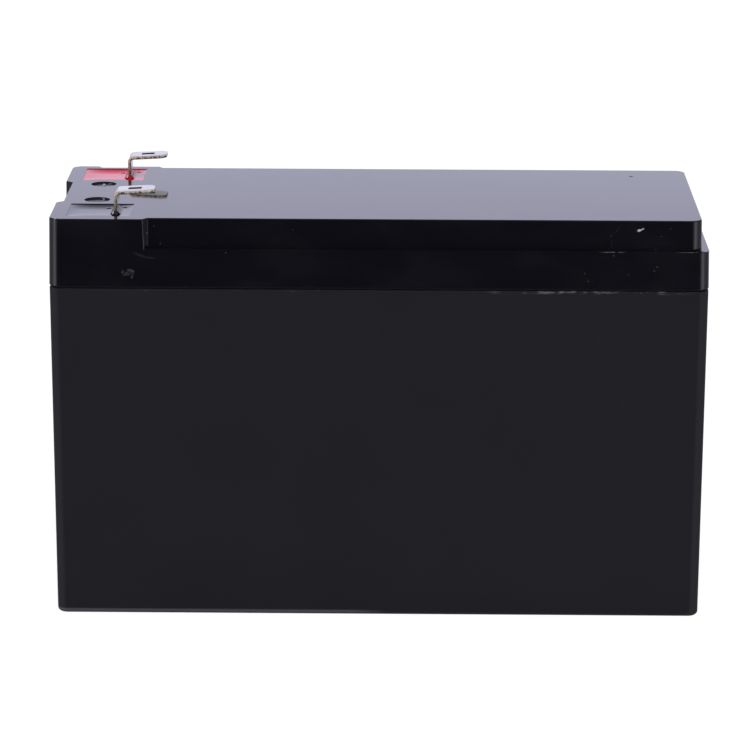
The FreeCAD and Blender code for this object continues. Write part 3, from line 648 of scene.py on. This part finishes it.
class Finish:
    """A material with its shader and the nodes that feed it. Noise scales count per metre."""

    def __init__(self, name):
        self.material = bpy.data.materials.new(name)
        self.material.use_nodes = True
        self.tree = self.material.node_tree
        self.shader = self.tree.nodes["Principled BSDF"]
        self.place = self.add("ShaderNodeTexCoord", {}).outputs["Object"]

    def add(self, kind, inputs, **settings):
        return add_node(self.tree, kind, inputs, **settings)

    def set(self, **values):
        for key, value in values.items():
            feed(self.tree, self.shader.inputs[key.replace("_", " ")], value)

    def math(self, operation, first, second=0.0, third=0.0):
        node = self.add("ShaderNodeMath", {0: first, 1: second, 2: third}, operation=operation)
        return node.outputs[0]

    def over_all(self, operation, values):
        total = values[0]
        for value in values[1:]:
            total = self.math(operation, total, value)
        return total

    def all_of(self, *masks):
        return self.over_all("MULTIPLY", masks)

    def any_of(self, *masks):
        return self.over_all("MAXIMUM", masks)

    def gap(self, value, middle):
        return self.math("ABSOLUTE", self.math("SUBTRACT", value, middle))

    def length(self, vector):
        return self.add("ShaderNodeVectorMath", {0: vector}, operation="LENGTH").outputs["Value"]

    def past_corner(self, x, y):
        """Distance from the corner where x and y are 0, of what lies beyond it."""
        pair = self.add("ShaderNodeCombineXYZ", {
            "X": self.math("MAXIMUM", x, 0.0), "Y": self.math("MAXIMUM", y, 0.0),
        })
        return self.length(pair.outputs[0])

    def axis(self, letter):
        split = self.add("ShaderNodeSeparateXYZ", {"Vector": self.place})
        return split.outputs[letter]

    def stretched(self, x, y, z):
        node = self.add("ShaderNodeMapping", {"Vector": self.place, "Scale": (x, y, z)})
        return node.outputs["Vector"]

    def noise(self, scale, detail=3.0, roughness=0.5, place=None, distortion=0.0):
        node = self.add("ShaderNodeTexNoise", {
            "Vector": place or self.place, "Scale": scale, "Detail": detail,
            "Roughness": roughness, "Distortion": distortion,
        })
        return node.outputs["Fac"]

    def span(self, value, low, high, out_low=0.0, out_high=1.0, smooth=False):
        node = self.add("ShaderNodeMapRange", {
            "Value": value, "From Min": low, "From Max": high, "To Min": out_low, "To Max": out_high,
        })
        if smooth:
            node.interpolation_type = "SMOOTHSTEP"
        return node.outputs["Result"]

    def band(self, value, start, full, still_full, end):
        """1 between the two middle values, fading to 0 at the outer two."""
        return self.all_of(self.span(value, start, full), self.span(value, end, still_full))

    def blend(self, share, first, second):
        first, second = ((*c, 1.0) if isinstance(c, tuple) else c for c in (first, second))
        node = self.add("ShaderNodeMix", {0: share}, data_type="RGBA")
        feed(self.tree, node.inputs[6], first)
        feed(self.tree, node.inputs[7], second)
        return node.outputs[2]

    def lay(self, colour, mask, share, tone):
        """A colour with a thin layer of a tone over it where the mask is."""
        return self.blend(self.math("MULTIPLY", mask, share), colour, tone)

    def bump(self, height, strength, distance, normal=None):
        inputs = {"Height": height, "Strength": strength, "Distance": distance}
        if normal is not None:
            inputs["Normal"] = normal
        return self.add("ShaderNodeBump", inputs).outputs["Normal"]

    def mark(self, middle, reach, tilt, edge):
        """1 inside an ellipsoid, 0 outside, fading over an edge that is a share of its size."""
        node = self.add("ShaderNodeMapping", {
            "Vector": self.place, "Location": Vector(middle) * mm,
            "Rotation": (0, math.radians(tilt), 0), "Scale": Vector(reach) * mm,
        }, vector_type="TEXTURE")
        return self.span(self.length(node.outputs["Vector"]), 1.0, 1.0 - edge, smooth=True)

    def marks(self, places, edge):
        return self.any_of(*[self.mark(*place, edge) for place in places])

    def surface(self, colour, grain, low, high, strength, depth, between=(0.3, 0.7), **values):
        """Sets the colour, with the roughness from low to high and the bump taken from one grain."""
        rough = self.span(grain, *between, low, high)
        self.set(Base_Color=colour, Roughness=rough, Normal=self.bump(grain, strength, depth), **values)
        return self.material


# Lid plastic: black and glossy, with a chip, a scuff, faint scratches and dust, and painted glints along
# the ledge edge
# Marks are given as middle and half lengths in millimetres, and tilt in degrees
chip_marks = [
    ((59.25, -30.9, 91.75), (0.62, 1.0, 0.33), -14.0), ((60.0, -30.9, 92.05), (0.52, 1.0, 0.15), -27.0),
]
scuff_marks = [
    ((-57.8, -32.4, 81.08), (1.75, 0.8, 0.22), 7.0), ((-56.7, -32.4, 81.9), (1.25, 0.8, 0.8), 5.0),
    ((-58.5, -32.4, 81.84), (0.42, 0.8, 0.58), 10.0), ((-57.0, -32.4, 81.5), (1.35, 0.8, 0.5), 6.0),
    ((-56.25, -32.4, 80.85), (0.36, 0.8, 0.95), 20.0),
]
arc_marks = [
    ((-54.5, -32.4, 85.7), (2.6, 0.8, 0.5), 19.0), ((-52.3, -32.4, 85.12), (2.1, 0.8, 0.42), 2.0),
]
fork_marks = [
    ((54.4, -30.9, 92.0), (2.2, 0.8, 0.12), -57.0), ((53.1, -30.9, 88.8), (1.7, 0.8, 0.11), 88.0),
    ((52.9, -30.9, 90.5), (0.45, 0.8, 0.35), 0.0),
]
# Painted glints: pale streaks painted along the front ledge edge, standing in for the light it catches
ledge_painted_glints = [
    ((53.15, -32.4, 87.02), (3.5, 0.3, 0.19), 0.0), ((70.5, -32.4, 87.02), (3.2, 0.2, 0.06), 0.0),
]
dust_places = [
    (64.4, 90.4), (53.5, 86.2), (46.9, 82.0), (47.8, 80.2), (63.4, 83.6), (62.8, 82.7), (57.0, 81.7),
    (63.1, 87.4), (-51.4, 92.2), (-52.9, 90.6), (-49.9, 88.1), (-34.9, 86.4), (-19.6, 91.5), (66.4, 92.2),
]
dust_depth = -31.7
dust_size = (0.21, 1.4, 0.21)
top_mark = ((60.4, 22.7, 94.0), (0.75, 0.9, 0.6), 0.0)
recess_floor_size = (3.2, 3.2, 0.2)
lid_black = (0.0054, 0.0053, 0.0088)
lid_grime = (0.0094, 0.0093, 0.0134)
chip_white = (0.62, 0.64, 0.68)
dust_grey = (0.62, 0.58, 0.60)


def lid_plastic():
    finish = Finish("gloss_lid_plastic")
    smears = finish.noise(55.0, 4.0, 0.6, finish.stretched(1.0, 1.0, 2.2))
    flow = finish.noise(1300.0, 3.0, 0.6)
    scuff_grain = finish.noise(1500.0, 3.0, 0.65, finish.stretched(0.5, 1.0, 1.6))
    ledge_glint_grain = finish.noise(500.0, 3.0, 0.6)
    chip = finish.all_of(finish.marks(chip_marks, 0.3), finish.span(flow, 0.36, 0.44))
    scuff = finish.all_of(finish.marks(scuff_marks, 0.6), finish.span(scuff_grain, 0.36, 0.62))
    # Painted highlight: the mask of the glint streaks along the ledge edge
    edge_streaks = finish.all_of(finish.marks(ledge_painted_glints, 0.8), finish.span(ledge_glint_grain, 0.3, 0.55))
    dust = finish.marks([((x, dust_depth, z), dust_size, 0.0) for x, z in dust_places], 0.7)
    colour = finish.blend(finish.span(smears, 0.42, 0.72, smooth=True), lid_black, lid_grime)
    colour = finish.lay(colour, finish.marks(arc_marks, 0.95), 0.05, (0.35, 0.34, 0.38))
    colour = finish.lay(colour, finish.marks(fork_marks, 0.9), 0.045, (0.35, 0.35, 0.4))
    colour = finish.lay(colour, scuff, 0.15, (0.42, 0.41, 0.44))
    # Painted glints along the ledge edge
    colour = finish.lay(colour, edge_streaks, 0.75, (0.28, 0.30, 0.295))
    colour = finish.lay(colour, dust, 0.34, dust_grey)
    colour = finish.blend(chip, colour, chip_white)
    recess_middle = Vector((recess_x, recess_spacing / 2, lid_top - recess_depth)) / mm
    recess_floors = finish.marks(
        [(recess_middle * Vector((1, side, 1)), recess_floor_size, 0.0) for side in (-1, 1)], 0.2
    )
    rough = finish.span(smears, 0.35, 0.7, 0.035, 0.07)
    rough = finish.math("MULTIPLY_ADD", finish.any_of(scuff, chip), 0.45, rough)
    rough = finish.math("MULTIPLY_ADD", finish.marks([top_mark], 0.5), 0.3, rough)
    rough = finish.math("MULTIPLY_ADD", recess_floors, 0.2, rough)
    waves = finish.bump(finish.noise(28.0, 2.0), 0.12, 0.0002)
    normal = finish.bump(finish.noise(900.0, 2.0), 0.03, 0.00002, waves)
    normal = finish.bump(finish.math("SUBTRACT", scuff, chip), 0.4, 0.00005, normal)
    finish.set(Base_Color=colour, Roughness=rough, Normal=normal, IOR=1.54)
    return finish.material


def painted_glint_stub_plastic():
    """Lid plastic painted pale on the broken-off sprue, a painted highlight for the white glint on it."""
    finish = Finish("gate_stub_painted_glint")
    grain = finish.noise(2600.0, 3.0, 0.6)
    # Painted highlight: the stub's pale colour stands in for its white glint
    colour = finish.blend(finish.span(grain, 0.35, 0.6), (0.30, 0.30, 0.32), (0.85, 0.85, 0.88))
    return finish.surface(colour, grain, 0.45, 0.65, 0.4, 0.00008)


# Case plastic: black with a fine spark texture, rubbed light along its upper edge, and a painted highlight
# along the left half of its bottom front edge
# Bands give where they start, are full, are still full, and end, in millimetres
rubbed_heights = (-0.75, -0.25, 0.1, 0.3)  # from the seam
rubbed_stretch = (20.0, 44.0, 64.0, 76.0)
# Heights of the painted highlight, a light line painted along the bottom front edge
foot_highlight_heights = (0.3, 0.6, 0.95, 1.35)
case_black = (0.0135, 0.0127, 0.0175)
case_patch = (0.0170, 0.0156, 0.0208)
case_grain = (0.031, 0.029, 0.037)
# Painted light: a paler colour for the seam groove, lifting the shade that falls in it
seam_painted_light = (0.05, 0.048, 0.056)


def case_plastic():
    finish = Finish("satin_case_plastic")
    along = finish.axis("X")
    height = finish.axis("Z")
    grain = finish.noise(3800.0, 3.0, 0.6)
    patches = finish.span(finish.noise(32.0, 4.0, 0.55), 0.3, 0.7)
    flecks = finish.noise(420.0, 4.0, 0.7, finish.stretched(0.45, 1.0, 1.4))
    edge = finish.band(height, *[seam_height + z * mm for z in rubbed_heights])
    worn = finish.band(along, *[x * mm for x in rubbed_stretch])
    edge_streaks = finish.all_of(edge, worn, finish.span(flecks, 0.52, 0.66))
    everywhere = finish.all_of(edge, finish.span(finish.noise(700.0, 3.0, 0.7), 0.62, 0.72), 0.4)
    # Painted highlight along the left half of the bottom front edge
    foot_painted_highlight = finish.all_of(
        finish.band(height, *[z * mm for z in foot_highlight_heights]),
        finish.span(along, 2 * mm, -6 * mm), finish.span(finish.axis("Y"), 0.0, -30 * mm),
    )
    colour = finish.blend(patches, case_black, case_patch)
    colour = finish.blend(finish.span(grain, 0.35, 0.75, 0.0, 0.35), colour, case_grain)
    colour = finish.lay(colour, finish.any_of(edge_streaks, everywhere), 0.85, (0.30, 0.31, 0.33))
    colour = finish.lay(colour, foot_painted_highlight, 0.4, (0.26, 0.25, 0.28))
    # Painted light: the case above the seam, in the groove under the lid, is painted paler against its
    # shade
    groove = finish.span(height, seam_height - 0.02 * mm, seam_height + 0.05 * mm)
    colour = finish.blend(groove, colour, seam_painted_light)
    gloss = {"IOR": 1.5, "Specular_IOR_Level": 0.32}
    return finish.surface(colour, grain, 0.5, 0.62, 0.22, 0.00006, **gloss)


# Blade metal: bright tin on the rolled faces, torn brass where the strip was sheared, with a painted
# highlight on the sheared edges near the bend
tin_dull = (0.93, 0.92, 0.87)
tin_bright = (0.99, 0.97, 0.92)
brass_brown = (0.10, 0.07, 0.05)
brass_warm = (0.36, 0.27, 0.19)
cream_low = (0.34, 0.27, 0.21)
# Painted highlight: the lighter cream that the sheared edges are painted towards the bend
cream_painted_highlight = (0.98, 0.86, 0.74)
slot_brown = (0.10, 0.06, 0.05)


def sheared_faces(finish, along, side):
    """Masks of the strip's sheared outline and of the inside of its slot."""
    outline = finish.past_corner(
        finish.math("SUBTRACT", along, blade_high.x - blade_tip_radius),
        finish.math("SUBTRACT", side, blade_width / 2 - blade_tip_radius),
    )
    sheared = finish.span(outline, blade_tip_radius - 0.08 * mm, blade_tip_radius - 0.05 * mm)
    slot = finish.all_of(*[
        finish.span(gap, size / 2 + 0.05 * mm, size / 2 + 0.02 * mm)
        for gap, size in (
            (finish.gap(along, leg_x + blade_slot_reach), blade_slot_length), (side, blade_slot_width),
        )
    ])
    return sheared, slot


def share_of_thickness(finish, along, height):
    """How far through the strip a point lies, from the inside of the bend to its outside."""
    slope = math.radians(blade_slope)
    arm_under = blade_high.z - blade_thickness * math.cos(slope)
    arm_height = finish.math("SUBTRACT", height, arm_under - blade_bend_radius)
    fall = finish.math("MULTIPLY", finish.math("SUBTRACT", blade_high.x, along), math.tan(slope))
    from_leg = finish.math("SUBTRACT", leg_x + blade_bend_radius + blade_thickness / 2, along)
    reach = finish.past_corner(from_leg, finish.math("ADD", arm_height, fall))
    return finish.span(reach, blade_bend_radius, blade_bend_radius + blade_thickness)


def tinned_blade():
    finish = Finish("tinned_blade")
    along = finish.axis("X")
    height = finish.axis("Z")
    side = finish.gap(finish.math("ABSOLUTE", finish.axis("Y")), well_y)
    sheared, slot = sheared_faces(finish, along, side)
    through = share_of_thickness(finish, along, height)
    torn = finish.any_of(sheared, slot)
    streaks = finish.noise(1500.0, 3.0, 0.7)
    rolled = finish.noise(1300.0, 3.0, 0.5, finish.stretched(0.1, 1.0, 0.1))
    ragged = finish.math("MULTIPLY_ADD", streaks, 2.6, finish.math("SUBTRACT", through, 1.3))
    # Painted highlight: the cream of the sheared edges is painted lighter upwards, towards the bend
    bend_highlight_share = finish.span(height, lid_top + 0.6 * mm, lid_top + 4.2 * mm)
    cream = finish.blend(bend_highlight_share, cream_low, cream_painted_highlight)
    brown = finish.blend(finish.span(streaks, 0.35, 0.6), brass_brown, brass_warm)
    edge = finish.blend(slot, finish.blend(finish.span(ragged, 0.36, 0.5), brown, cream), slot_brown)
    lines = finish.bump(rolled, 0.1, 0.00002)
    finish.set(
        Base_Color=finish.blend(torn, finish.blend(rolled, tin_dull, tin_bright), edge),
        Metallic=finish.span(torn, 0.0, 1.0, 1.0, 0.25),
        Roughness=finish.math("MULTIPLY_ADD", torn, 0.25, finish.span(rolled, 0.3, 0.7, 0.16, 0.27)),
        Normal=finish.bump(finish.all_of(streaks, torn), 0.8, 0.0002, lines),
    )
    return finish.material


def facing_up(finish):
    """The upward part of the surface's own normal."""
    normal = finish.add("ShaderNodeNewGeometry", {}).outputs["Normal"]
    return finish.add("ShaderNodeSeparateXYZ", {"Vector": normal}).outputs["Z"]


def cast_resin(name, deep, pale):
    """Glossy poured resin with faint swirls, a slightly uneven skin and painted shade where it rises
    steeply round the leg.
    """
    finish = Finish(name)
    swirl = finish.noise(180.0, 4.0, 0.55, distortion=0.8)
    colour = finish.blend(finish.span(swirl, 0.3, 0.7), deep, pale)
    # Painted shade: the colour darkens where the surface tilts away from facing up, on the slope round the
    # leg
    steep_painted_shade = finish.span(facing_up(finish), 0.93, 0.78, smooth=True)
    colour = finish.blend(steep_painted_shade, colour, tuple(0.4 * channel for channel in deep))
    return finish.surface(colour, finish.noise(260.0, 2.0), 0.03, 0.07, 0.08, 0.0001, IOR=1.54)


# Materials of what lies inside the case
def moulded(name, dark, light, low, high):
    """Plain moulded or extruded plastic: two close tones, a grain and its gloss."""
    finish = Finish(name)
    colour = finish.blend(finish.span(finish.noise(60.0, 3.0), 0.3, 0.7), dark, light)
    return finish.surface(colour, finish.noise(900.0, 3.0, 0.6), low, high, 0.1, 0.00005)


def banded(name, body, metal, letter, start, pitch, length):
    """Body colour over a stretch that repeats along one axis, plated metal outside it."""
    finish = Finish(name)
    place = finish.math("SUBTRACT", finish.axis(letter), start * mm)
    bare = finish.math("GREATER_THAN", finish.math("FLOORED_MODULO", place, pitch * mm), length * mm)
    fine = finish.noise(1600.0, 3.0)
    colour = finish.blend(fine, tuple(0.7 * channel for channel in body), body)
    colour = finish.blend(bare, colour, metal)
    return finish.surface(colour, fine, 0.35, 0.55, 0.12, 0.00004, Metallic=bare)


def cell_sleeve():
    """Shrunk film round the can, with the bare metal of both ends."""
    finish = Finish("cell_sleeve")
    end = finish.span(finish.math("ABSOLUTE", facing_up(finish)), 0.6, 0.8)
    film = finish.noise(150.0, 3.0, 0.6, finish.stretched(1.0, 1.0, 0.2))
    colour = finish.blend(film, (0.03, 0.17, 0.46), (0.06, 0.26, 0.60))
    colour = finish.blend(end, colour, (0.62, 0.60, 0.57))
    return finish.surface(colour, film, 0.22, 0.36, 0.1, 0.0001, Metallic=end)


def fibre_sheet():
    finish = Finish("fibre_sheet")
    strands = finish.noise(900.0, 5.0, 0.7, finish.stretched(0.2, 1.0, 1.0))
    crossing = finish.noise(900.0, 5.0, 0.7, finish.stretched(1.0, 0.2, 1.0))
    web = finish.any_of(strands, crossing)
    colour = finish.blend(finish.span(web, 0.45, 0.75), (0.48, 0.42, 0.28), (0.68, 0.61, 0.45))
    return finish.surface(colour, web, 0.7, 0.9, 0.3, 0.0001, (0.4, 0.8))


def nickel_strip():
    finish = Finish("nickel_strip")
    lines = finish.noise(1400.0, 4.0, 0.6, finish.stretched(0.04, 1.0, 1.0))
    stains = finish.span(finish.noise(70.0, 3.0), 0.35, 0.7)
    colour = finish.blend(stains, (0.60, 0.58, 0.54), (0.72, 0.70, 0.66))
    return finish.surface(colour, lines, 0.22, 0.42, 0.15, 0.00003, Metallic=1.0)


def circuit_board():
    finish = Finish("circuit_board")
    tracks = finish.add("ShaderNodeTexBrick", {
        "Vector": finish.place, "Scale": 60.0, "Mortar Size": 0.06, "Mortar Smooth": 0.1,
        "Brick Width": 0.9, "Row Height": 0.13,
    }).outputs["Fac"]
    weave = finish.noise(1200.0, 2.0)
    mask = finish.blend(weave, (0.008, 0.10, 0.035), (0.012, 0.14, 0.05))
    finish.set(
        Base_Color=finish.blend(tracks, mask, (0.02, 0.23, 0.08)),
        Roughness=finish.span(weave, 0.3, 0.7, 0.22, 0.38),
        Normal=finish.bump(tracks, 0.3, 0.00004),
    )
    return finish.material


def closed_foam():
    finish = Finish("closed_foam")
    bubbles = finish.add("ShaderNodeTexVoronoi", {"Vector": finish.place, "Scale": 1100.0})
    bubbles = bubbles.outputs["Distance"]
    cloud = finish.span(finish.noise(90.0, 3.0), 0.3, 0.7)
    colour = finish.blend(cloud, (0.035, 0.035, 0.037), (0.07, 0.07, 0.072))
    return finish.surface(colour, bubbles, 0.75, 0.95, 0.5, 0.0003, (0.1, 0.7))


def lead_insulation(name, dark, light, core_from, core_to):
    """Soft insulation, with the tinned core and its solder bare outside a stretch along X."""
    finish = Finish(name)
    along = finish.axis("X")
    bare = finish.any_of(
        finish.math("LESS_THAN", along, core_from * mm), finish.math("GREATER_THAN", along, core_to * mm)
    )
    fine = finish.noise(1100.0, 3.0)
    colour = finish.blend(bare, finish.blend(fine, dark, light), (0.66, 0.65, 0.64))
    return finish.surface(colour, fine, 0.36, 0.5, 0.1, 0.00004, Metallic=bare)


def sensor_lead():
    """Pale cover down to the dark bead at its lower end."""
    finish = Finish("sensor_lead")
    bead = finish.span(finish.axis("Z"), 59.5 * mm, 59.0 * mm)
    fine = finish.noise(900.0, 3.0)
    colour = finish.blend(fine, (0.66, 0.66, 0.64), (0.80, 0.80, 0.78))
    colour = finish.blend(bead, colour, (0.03, 0.03, 0.035))
    return finish.surface(colour, fine, 0.3, 0.5, 0.1, 0.00005)


def paint(finish, *names):
    """Gives CAD nodes a finish in place of their packed one."""
    for name in names:
        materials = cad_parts[name].data.materials
        materials.clear()
        materials.append(finish)


def paint_inside():
    metal = (0.68, 0.66, 0.62)
    black = (0.03, 0.03, 0.032)
    paint(cell_sleeve(), *["cell_%d" % number for number in range(1, 9)])
    paint(fibre_sheet(), "cell_top_rings", "top_insulator_sheet", "bottom_insulator_sheet")
    paint(moulded("cell_holder_plastic", (0.035, 0.035, 0.036), (0.055, 0.055, 0.057), 0.4, 0.6),
          "lower_cell_holder", "upper_cell_holder")
    paint(nickel_strip(), "negative_end_strip", "top_link_strip", "positive_end_strip",
          "bottom_link_strip_1", "bottom_link_strip_2")
    paint(closed_foam(), "bottom_foam_pad", "far_end_foam", "near_end_foam", "front_foam_pad",
          "back_foam_pad", "top_foam_block", "board_foam_pad")
    paint(circuit_board(), "protection_board")
    for node, name, letter, start, pitch, length in (
        ("power_transistors", "transistor_body", "Y", -1.05, 11.0, 6.1),
        ("shunt_resistors", "shunt_body", "X", -40.6, 8.5, 5.2),
        ("balance_resistors", "balance_body", "Y", 10.4, 50.0, 5.2),
        ("controller_chip", "chip_body", "Y", 0.35, 50.0, 5.3),
    ):
        paint(banded(name, black, metal, letter, start, pitch, length), node)
    paint(moulded("connector_plastic", (0.74, 0.72, 0.65), (0.84, 0.82, 0.76), 0.3, 0.45),
          "balance_header", "balance_plug")
    paint(moulded("sense_insulation", (0.66, 0.60, 0.08), (0.76, 0.70, 0.12), 0.35, 0.5),
          *["sense_wire_%d" % number for number in range(1, 6)])
    paint(lead_insulation("red_insulation", (0.5, 0.02, 0.015), (0.62, 0.035, 0.025), -57.8, 37.3),
          "positive_lead")
    paint(lead_insulation("black_insulation", (0.014, 0.014, 0.015), (0.024, 0.024, 0.026), -57.8, -22.0),
          "negative_lead")
    paint(sensor_lead(), "temperature_sensor")


# Stage, lights and camera
floor_size = 12.0
floor_glow = 0.93
paper_grey = (0.15, 0.15, 0.15, 1.0)
bounce_grey = (0.5, 0.5, 0.52, 1.0)


def make_floor():
    """White to the camera but for the object's shadow, and pale grey to the light that it sends back."""
    deselect()
    bpy.ops.mesh.primitive_plane_add(size=floor_size)
    floor = bpy.context.object
    floor.name = "studio_floor"
    finish = Finish("studio_floor")
    paper = finish.add("ShaderNodeBsdfDiffuse", {"Color": paper_grey})
    glow = finish.add("ShaderNodeEmission", {"Color": (1, 1, 1, 1), "Strength": floor_glow})
    seen = finish.add("ShaderNodeAddShader", {0: paper.outputs[0], 1: glow.outputs[0]})
    unseen = finish.add("ShaderNodeBsdfDiffuse", {"Color": bounce_grey})
    ray = finish.add("ShaderNodeLightPath", {}).outputs["Is Camera Ray"]
    mixed = finish.add("ShaderNodeMixShader", {0: ray, 1: unseen.outputs[0], 2: seen.outputs[0]})
    feed(finish.tree, finish.tree.nodes["Material Output"].inputs["Surface"], mixed.outputs[0])
    floor.data.materials.append(finish.material)
    floor.visible_glossy = False


# Strength of the light that comes in from below the horizon, by how far backwards it points
round_light = [
    (-1.0, 0.03), (-0.94, 0.08), (-0.86, 0.44), (-0.74, 1.2), (-0.6, 1.5), (-0.5, 1.25), (-0.4, 0.93),
    (-0.2, 0.52), (0.06, 0.36), (0.35, 0.31), (0.6, 0.3), (0.85, 0.45), (1.0, 0.7),
]
round_light_skew = 0.08
# Strength of the pale sweep behind the object, by the height that its direction points to
sweep_light = [
    (0.0, 0.08), (0.05, 0.3), (0.1, 0.6), (0.15, 0.84), (0.187, 0.79), (0.2, 0.74), (0.42, 0.0), (1.0, 0.0),
]
sweep_colour = (1.175, 1.175, 1.50)
round_light_colour = (1.0, 0.98, 1.1)
side_walls = (0.22, 0.22, 0.25, 1)
dark_front = (0.036, 0.036, 0.055, 1)
ceiling = (0.5, 0.49, 0.52, 1)


def make_world():
    """White to the camera. To the object: a pale sweep behind it, pale sides and a dark front."""
    world = bpy.data.worlds.new("studio")
    bpy.context.scene.world = world
    world.use_nodes = True
    tree = world.node_tree
    background = tree.nodes["Background"]

    def add(kind, inputs, **settings):
        return add_node(tree, kind, inputs, **settings)

    def ramp(value, low, high, kind="SMOOTHSTEP"):
        inputs = {"Value": value, "From Min": low, "From Max": high}
        return add("ShaderNodeMapRange", inputs, interpolation_type=kind).outputs["Result"]

    def mix(share, first, second):
        node = add("ShaderNodeMix", {0: share, 6: first, 7: second}, data_type="RGBA")
        return node.outputs[2]

    def graded(value, stops, colour):
        """A colour whose strength, at most 2, follows a value from 0 to 1 through the given stops."""
        node = add("ShaderNodeValToRGB", {"Fac": value})
        elements = node.color_ramp.elements
        while len(elements) < len(stops):
            elements.new(0.5)
        for element, (position, strength) in zip(elements, stops):
            element.position = position
            element.color = (*(strength * channel / 2 for channel in colour), 1)
        inputs = {0: node.outputs["Color"], "Scale": 2.0}
        return add("ShaderNodeVectorMath", inputs, operation="SCALE").outputs[0]

    direction = tree.nodes.new("ShaderNodeTexCoord").outputs["Generated"]
    split = add("ShaderNodeSeparateXYZ", {"Vector": direction})
    height = split.outputs["Z"]
    level = add("ShaderNodeCombineXYZ", {"X": split.outputs["X"], "Y": split.outputs["Y"]})
    level = add("ShaderNodeVectorMath", {0: level.outputs[0]}, operation="NORMALIZE")
    backward = add("ShaderNodeSeparateXYZ", {"Vector": level.outputs[0]}).outputs["Y"]
    inputs = {0: split.outputs["X"], 1: round_light_skew, 2: backward}
    skewed = ramp(add("ShaderNodeMath", inputs, operation="MULTIPLY_ADD").outputs[0], -1.0, 1.0, "LINEAR")
    stops = [((y + 1) / 2, strength) for y, strength in round_light]
    low_light = graded(skewed, stops, round_light_colour)
    sweep = graded(height, sweep_light, sweep_colour)
    behind = ramp(backward, 0.35, 0.8)
    in_front = ramp(backward, -0.25, -0.75)
    room_colour = mix(in_front, side_walls, dark_front)
    room_colour = mix(ramp(height, 0.35, 0.85), room_colour, ceiling)
    high_light = mix(behind, room_colour, sweep)
    studio = mix(ramp(height, -0.03, 0.03), low_light, high_light)
    ray = tree.nodes.new("ShaderNodeLightPath").outputs["Is Camera Ray"]
    tree.links.new(mix(ray, studio, (1, 1, 1, 1)), background.inputs["Color"])
    background.inputs["Strength"].default_value = 1.0


def area_light(name, place, aim, size, watts):
    light = bpy.data.lights.new(name, "AREA")
    light.shape = "RECTANGLE"
    light.size, light.size_y = size
    light.energy = watts
    lamp = bpy.data.objects.new(name, light)
    bpy.context.scene.collection.objects.link(lamp)
    lamp.location = place
    lamp.rotation_euler = (Vector(aim) - Vector(place)).to_track_quat("-Z", "Y").to_euler()
    lamp.visible_camera = False
    return lamp


overhead_height = 1.35
overhead_size = (1.3, 1.3)
overhead_watts = 13.0
softbox_offset = 0.72
softbox_middle = 0.35
softbox_size = (0.34, 1.5)
softbox_watts = 3.0
glint_offset = Vector((-0.56, 0.12, 0.94))
glint_size = (0.2, 0.2)
glint_watts = 4.5


def make_lights():
    """Soft lamps that light without a mirror image, and a small window that only glints."""
    middle = Vector((0, 0, lid_top / 2))
    above = (0, 0, overhead_height)
    lamps = [area_light("overhead_light", above, middle, overhead_size, overhead_watts)]
    for side, name in ((-1, "left_softbox"), (1, "right_softbox")):
        place = (side * softbox_offset, -softbox_offset, softbox_middle)
        lamps.append(area_light(name, place, (0, 0, softbox_middle), softbox_size, softbox_watts))
    for lamp in lamps:
        lamp.visible_glossy = False
    glint = area_light("glint_window", middle + glint_offset, middle, glint_size, glint_watts)
    glint.visible_diffuse = False


def make_camera():
    camera = bpy.data.objects.new("camera", bpy.data.cameras.new("camera"))
    bpy.context.scene.collection.objects.link(camera)
    camera.data.sensor_width = sensor_width
    camera.data.lens = lens_length
    camera.data.clip_end = 50.0
    flat = math.cos(camera_pitch)
    looking = Vector((math.sin(camera_yaw) * flat, math.cos(camera_yaw) * flat, -math.sin(camera_pitch)))
    camera.location = camera_target - looking * camera_distance
    turn = (
        Matrix.Rotation(-camera_yaw, 4, "Z")
        @ Matrix.Rotation(math.radians(90) - camera_pitch, 4, "X")
        @ Matrix.Rotation(-camera_roll, 4, "Z")
    )
    camera.rotation_euler = turn.to_euler()
    bpy.context.scene.camera = camera


def dress(piece, finish, node):
    """Paints a new piece and puts it in the place of its CAD node."""
    piece.data.materials.clear()
    piece.data.materials.append(finish)
    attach(piece, "root")
    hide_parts(node)


def make_object():
    dress(make_case(), case_plastic(), "case")
    dress(make_lid(), lid_plastic(), "lid")
    stub = make_gate_stub()
    stub.data.materials.append(painted_glint_stub_plastic())
    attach(stub, "root")
    tin = tinned_blade()
    resins = {
        "positive": cast_resin("red_cast_resin", (0.56, 0.0, 0.016), (0.68, 0.003, 0.026)),
        "negative": cast_resin("black_cast_resin", (0.004, 0.004, 0.005), (0.009, 0.009, 0.011)),
    }
    for name, side, slot_name in (("positive", 1, "red_resin"), ("negative", -1, "black_resin")):
        blade = make_blade(name + "_blade", side)
        resin = make_resin(name + "_resin", side, blade)
        dress(blade, tin, name + "_tab")
        dress(resin, resins[name], name + "_well_resin")
    paint_inside()


bpy.context.scene.view_settings.view_transform = "Standard"
make_camera()
make_world()
make_lights()
make_floor()
make_object()
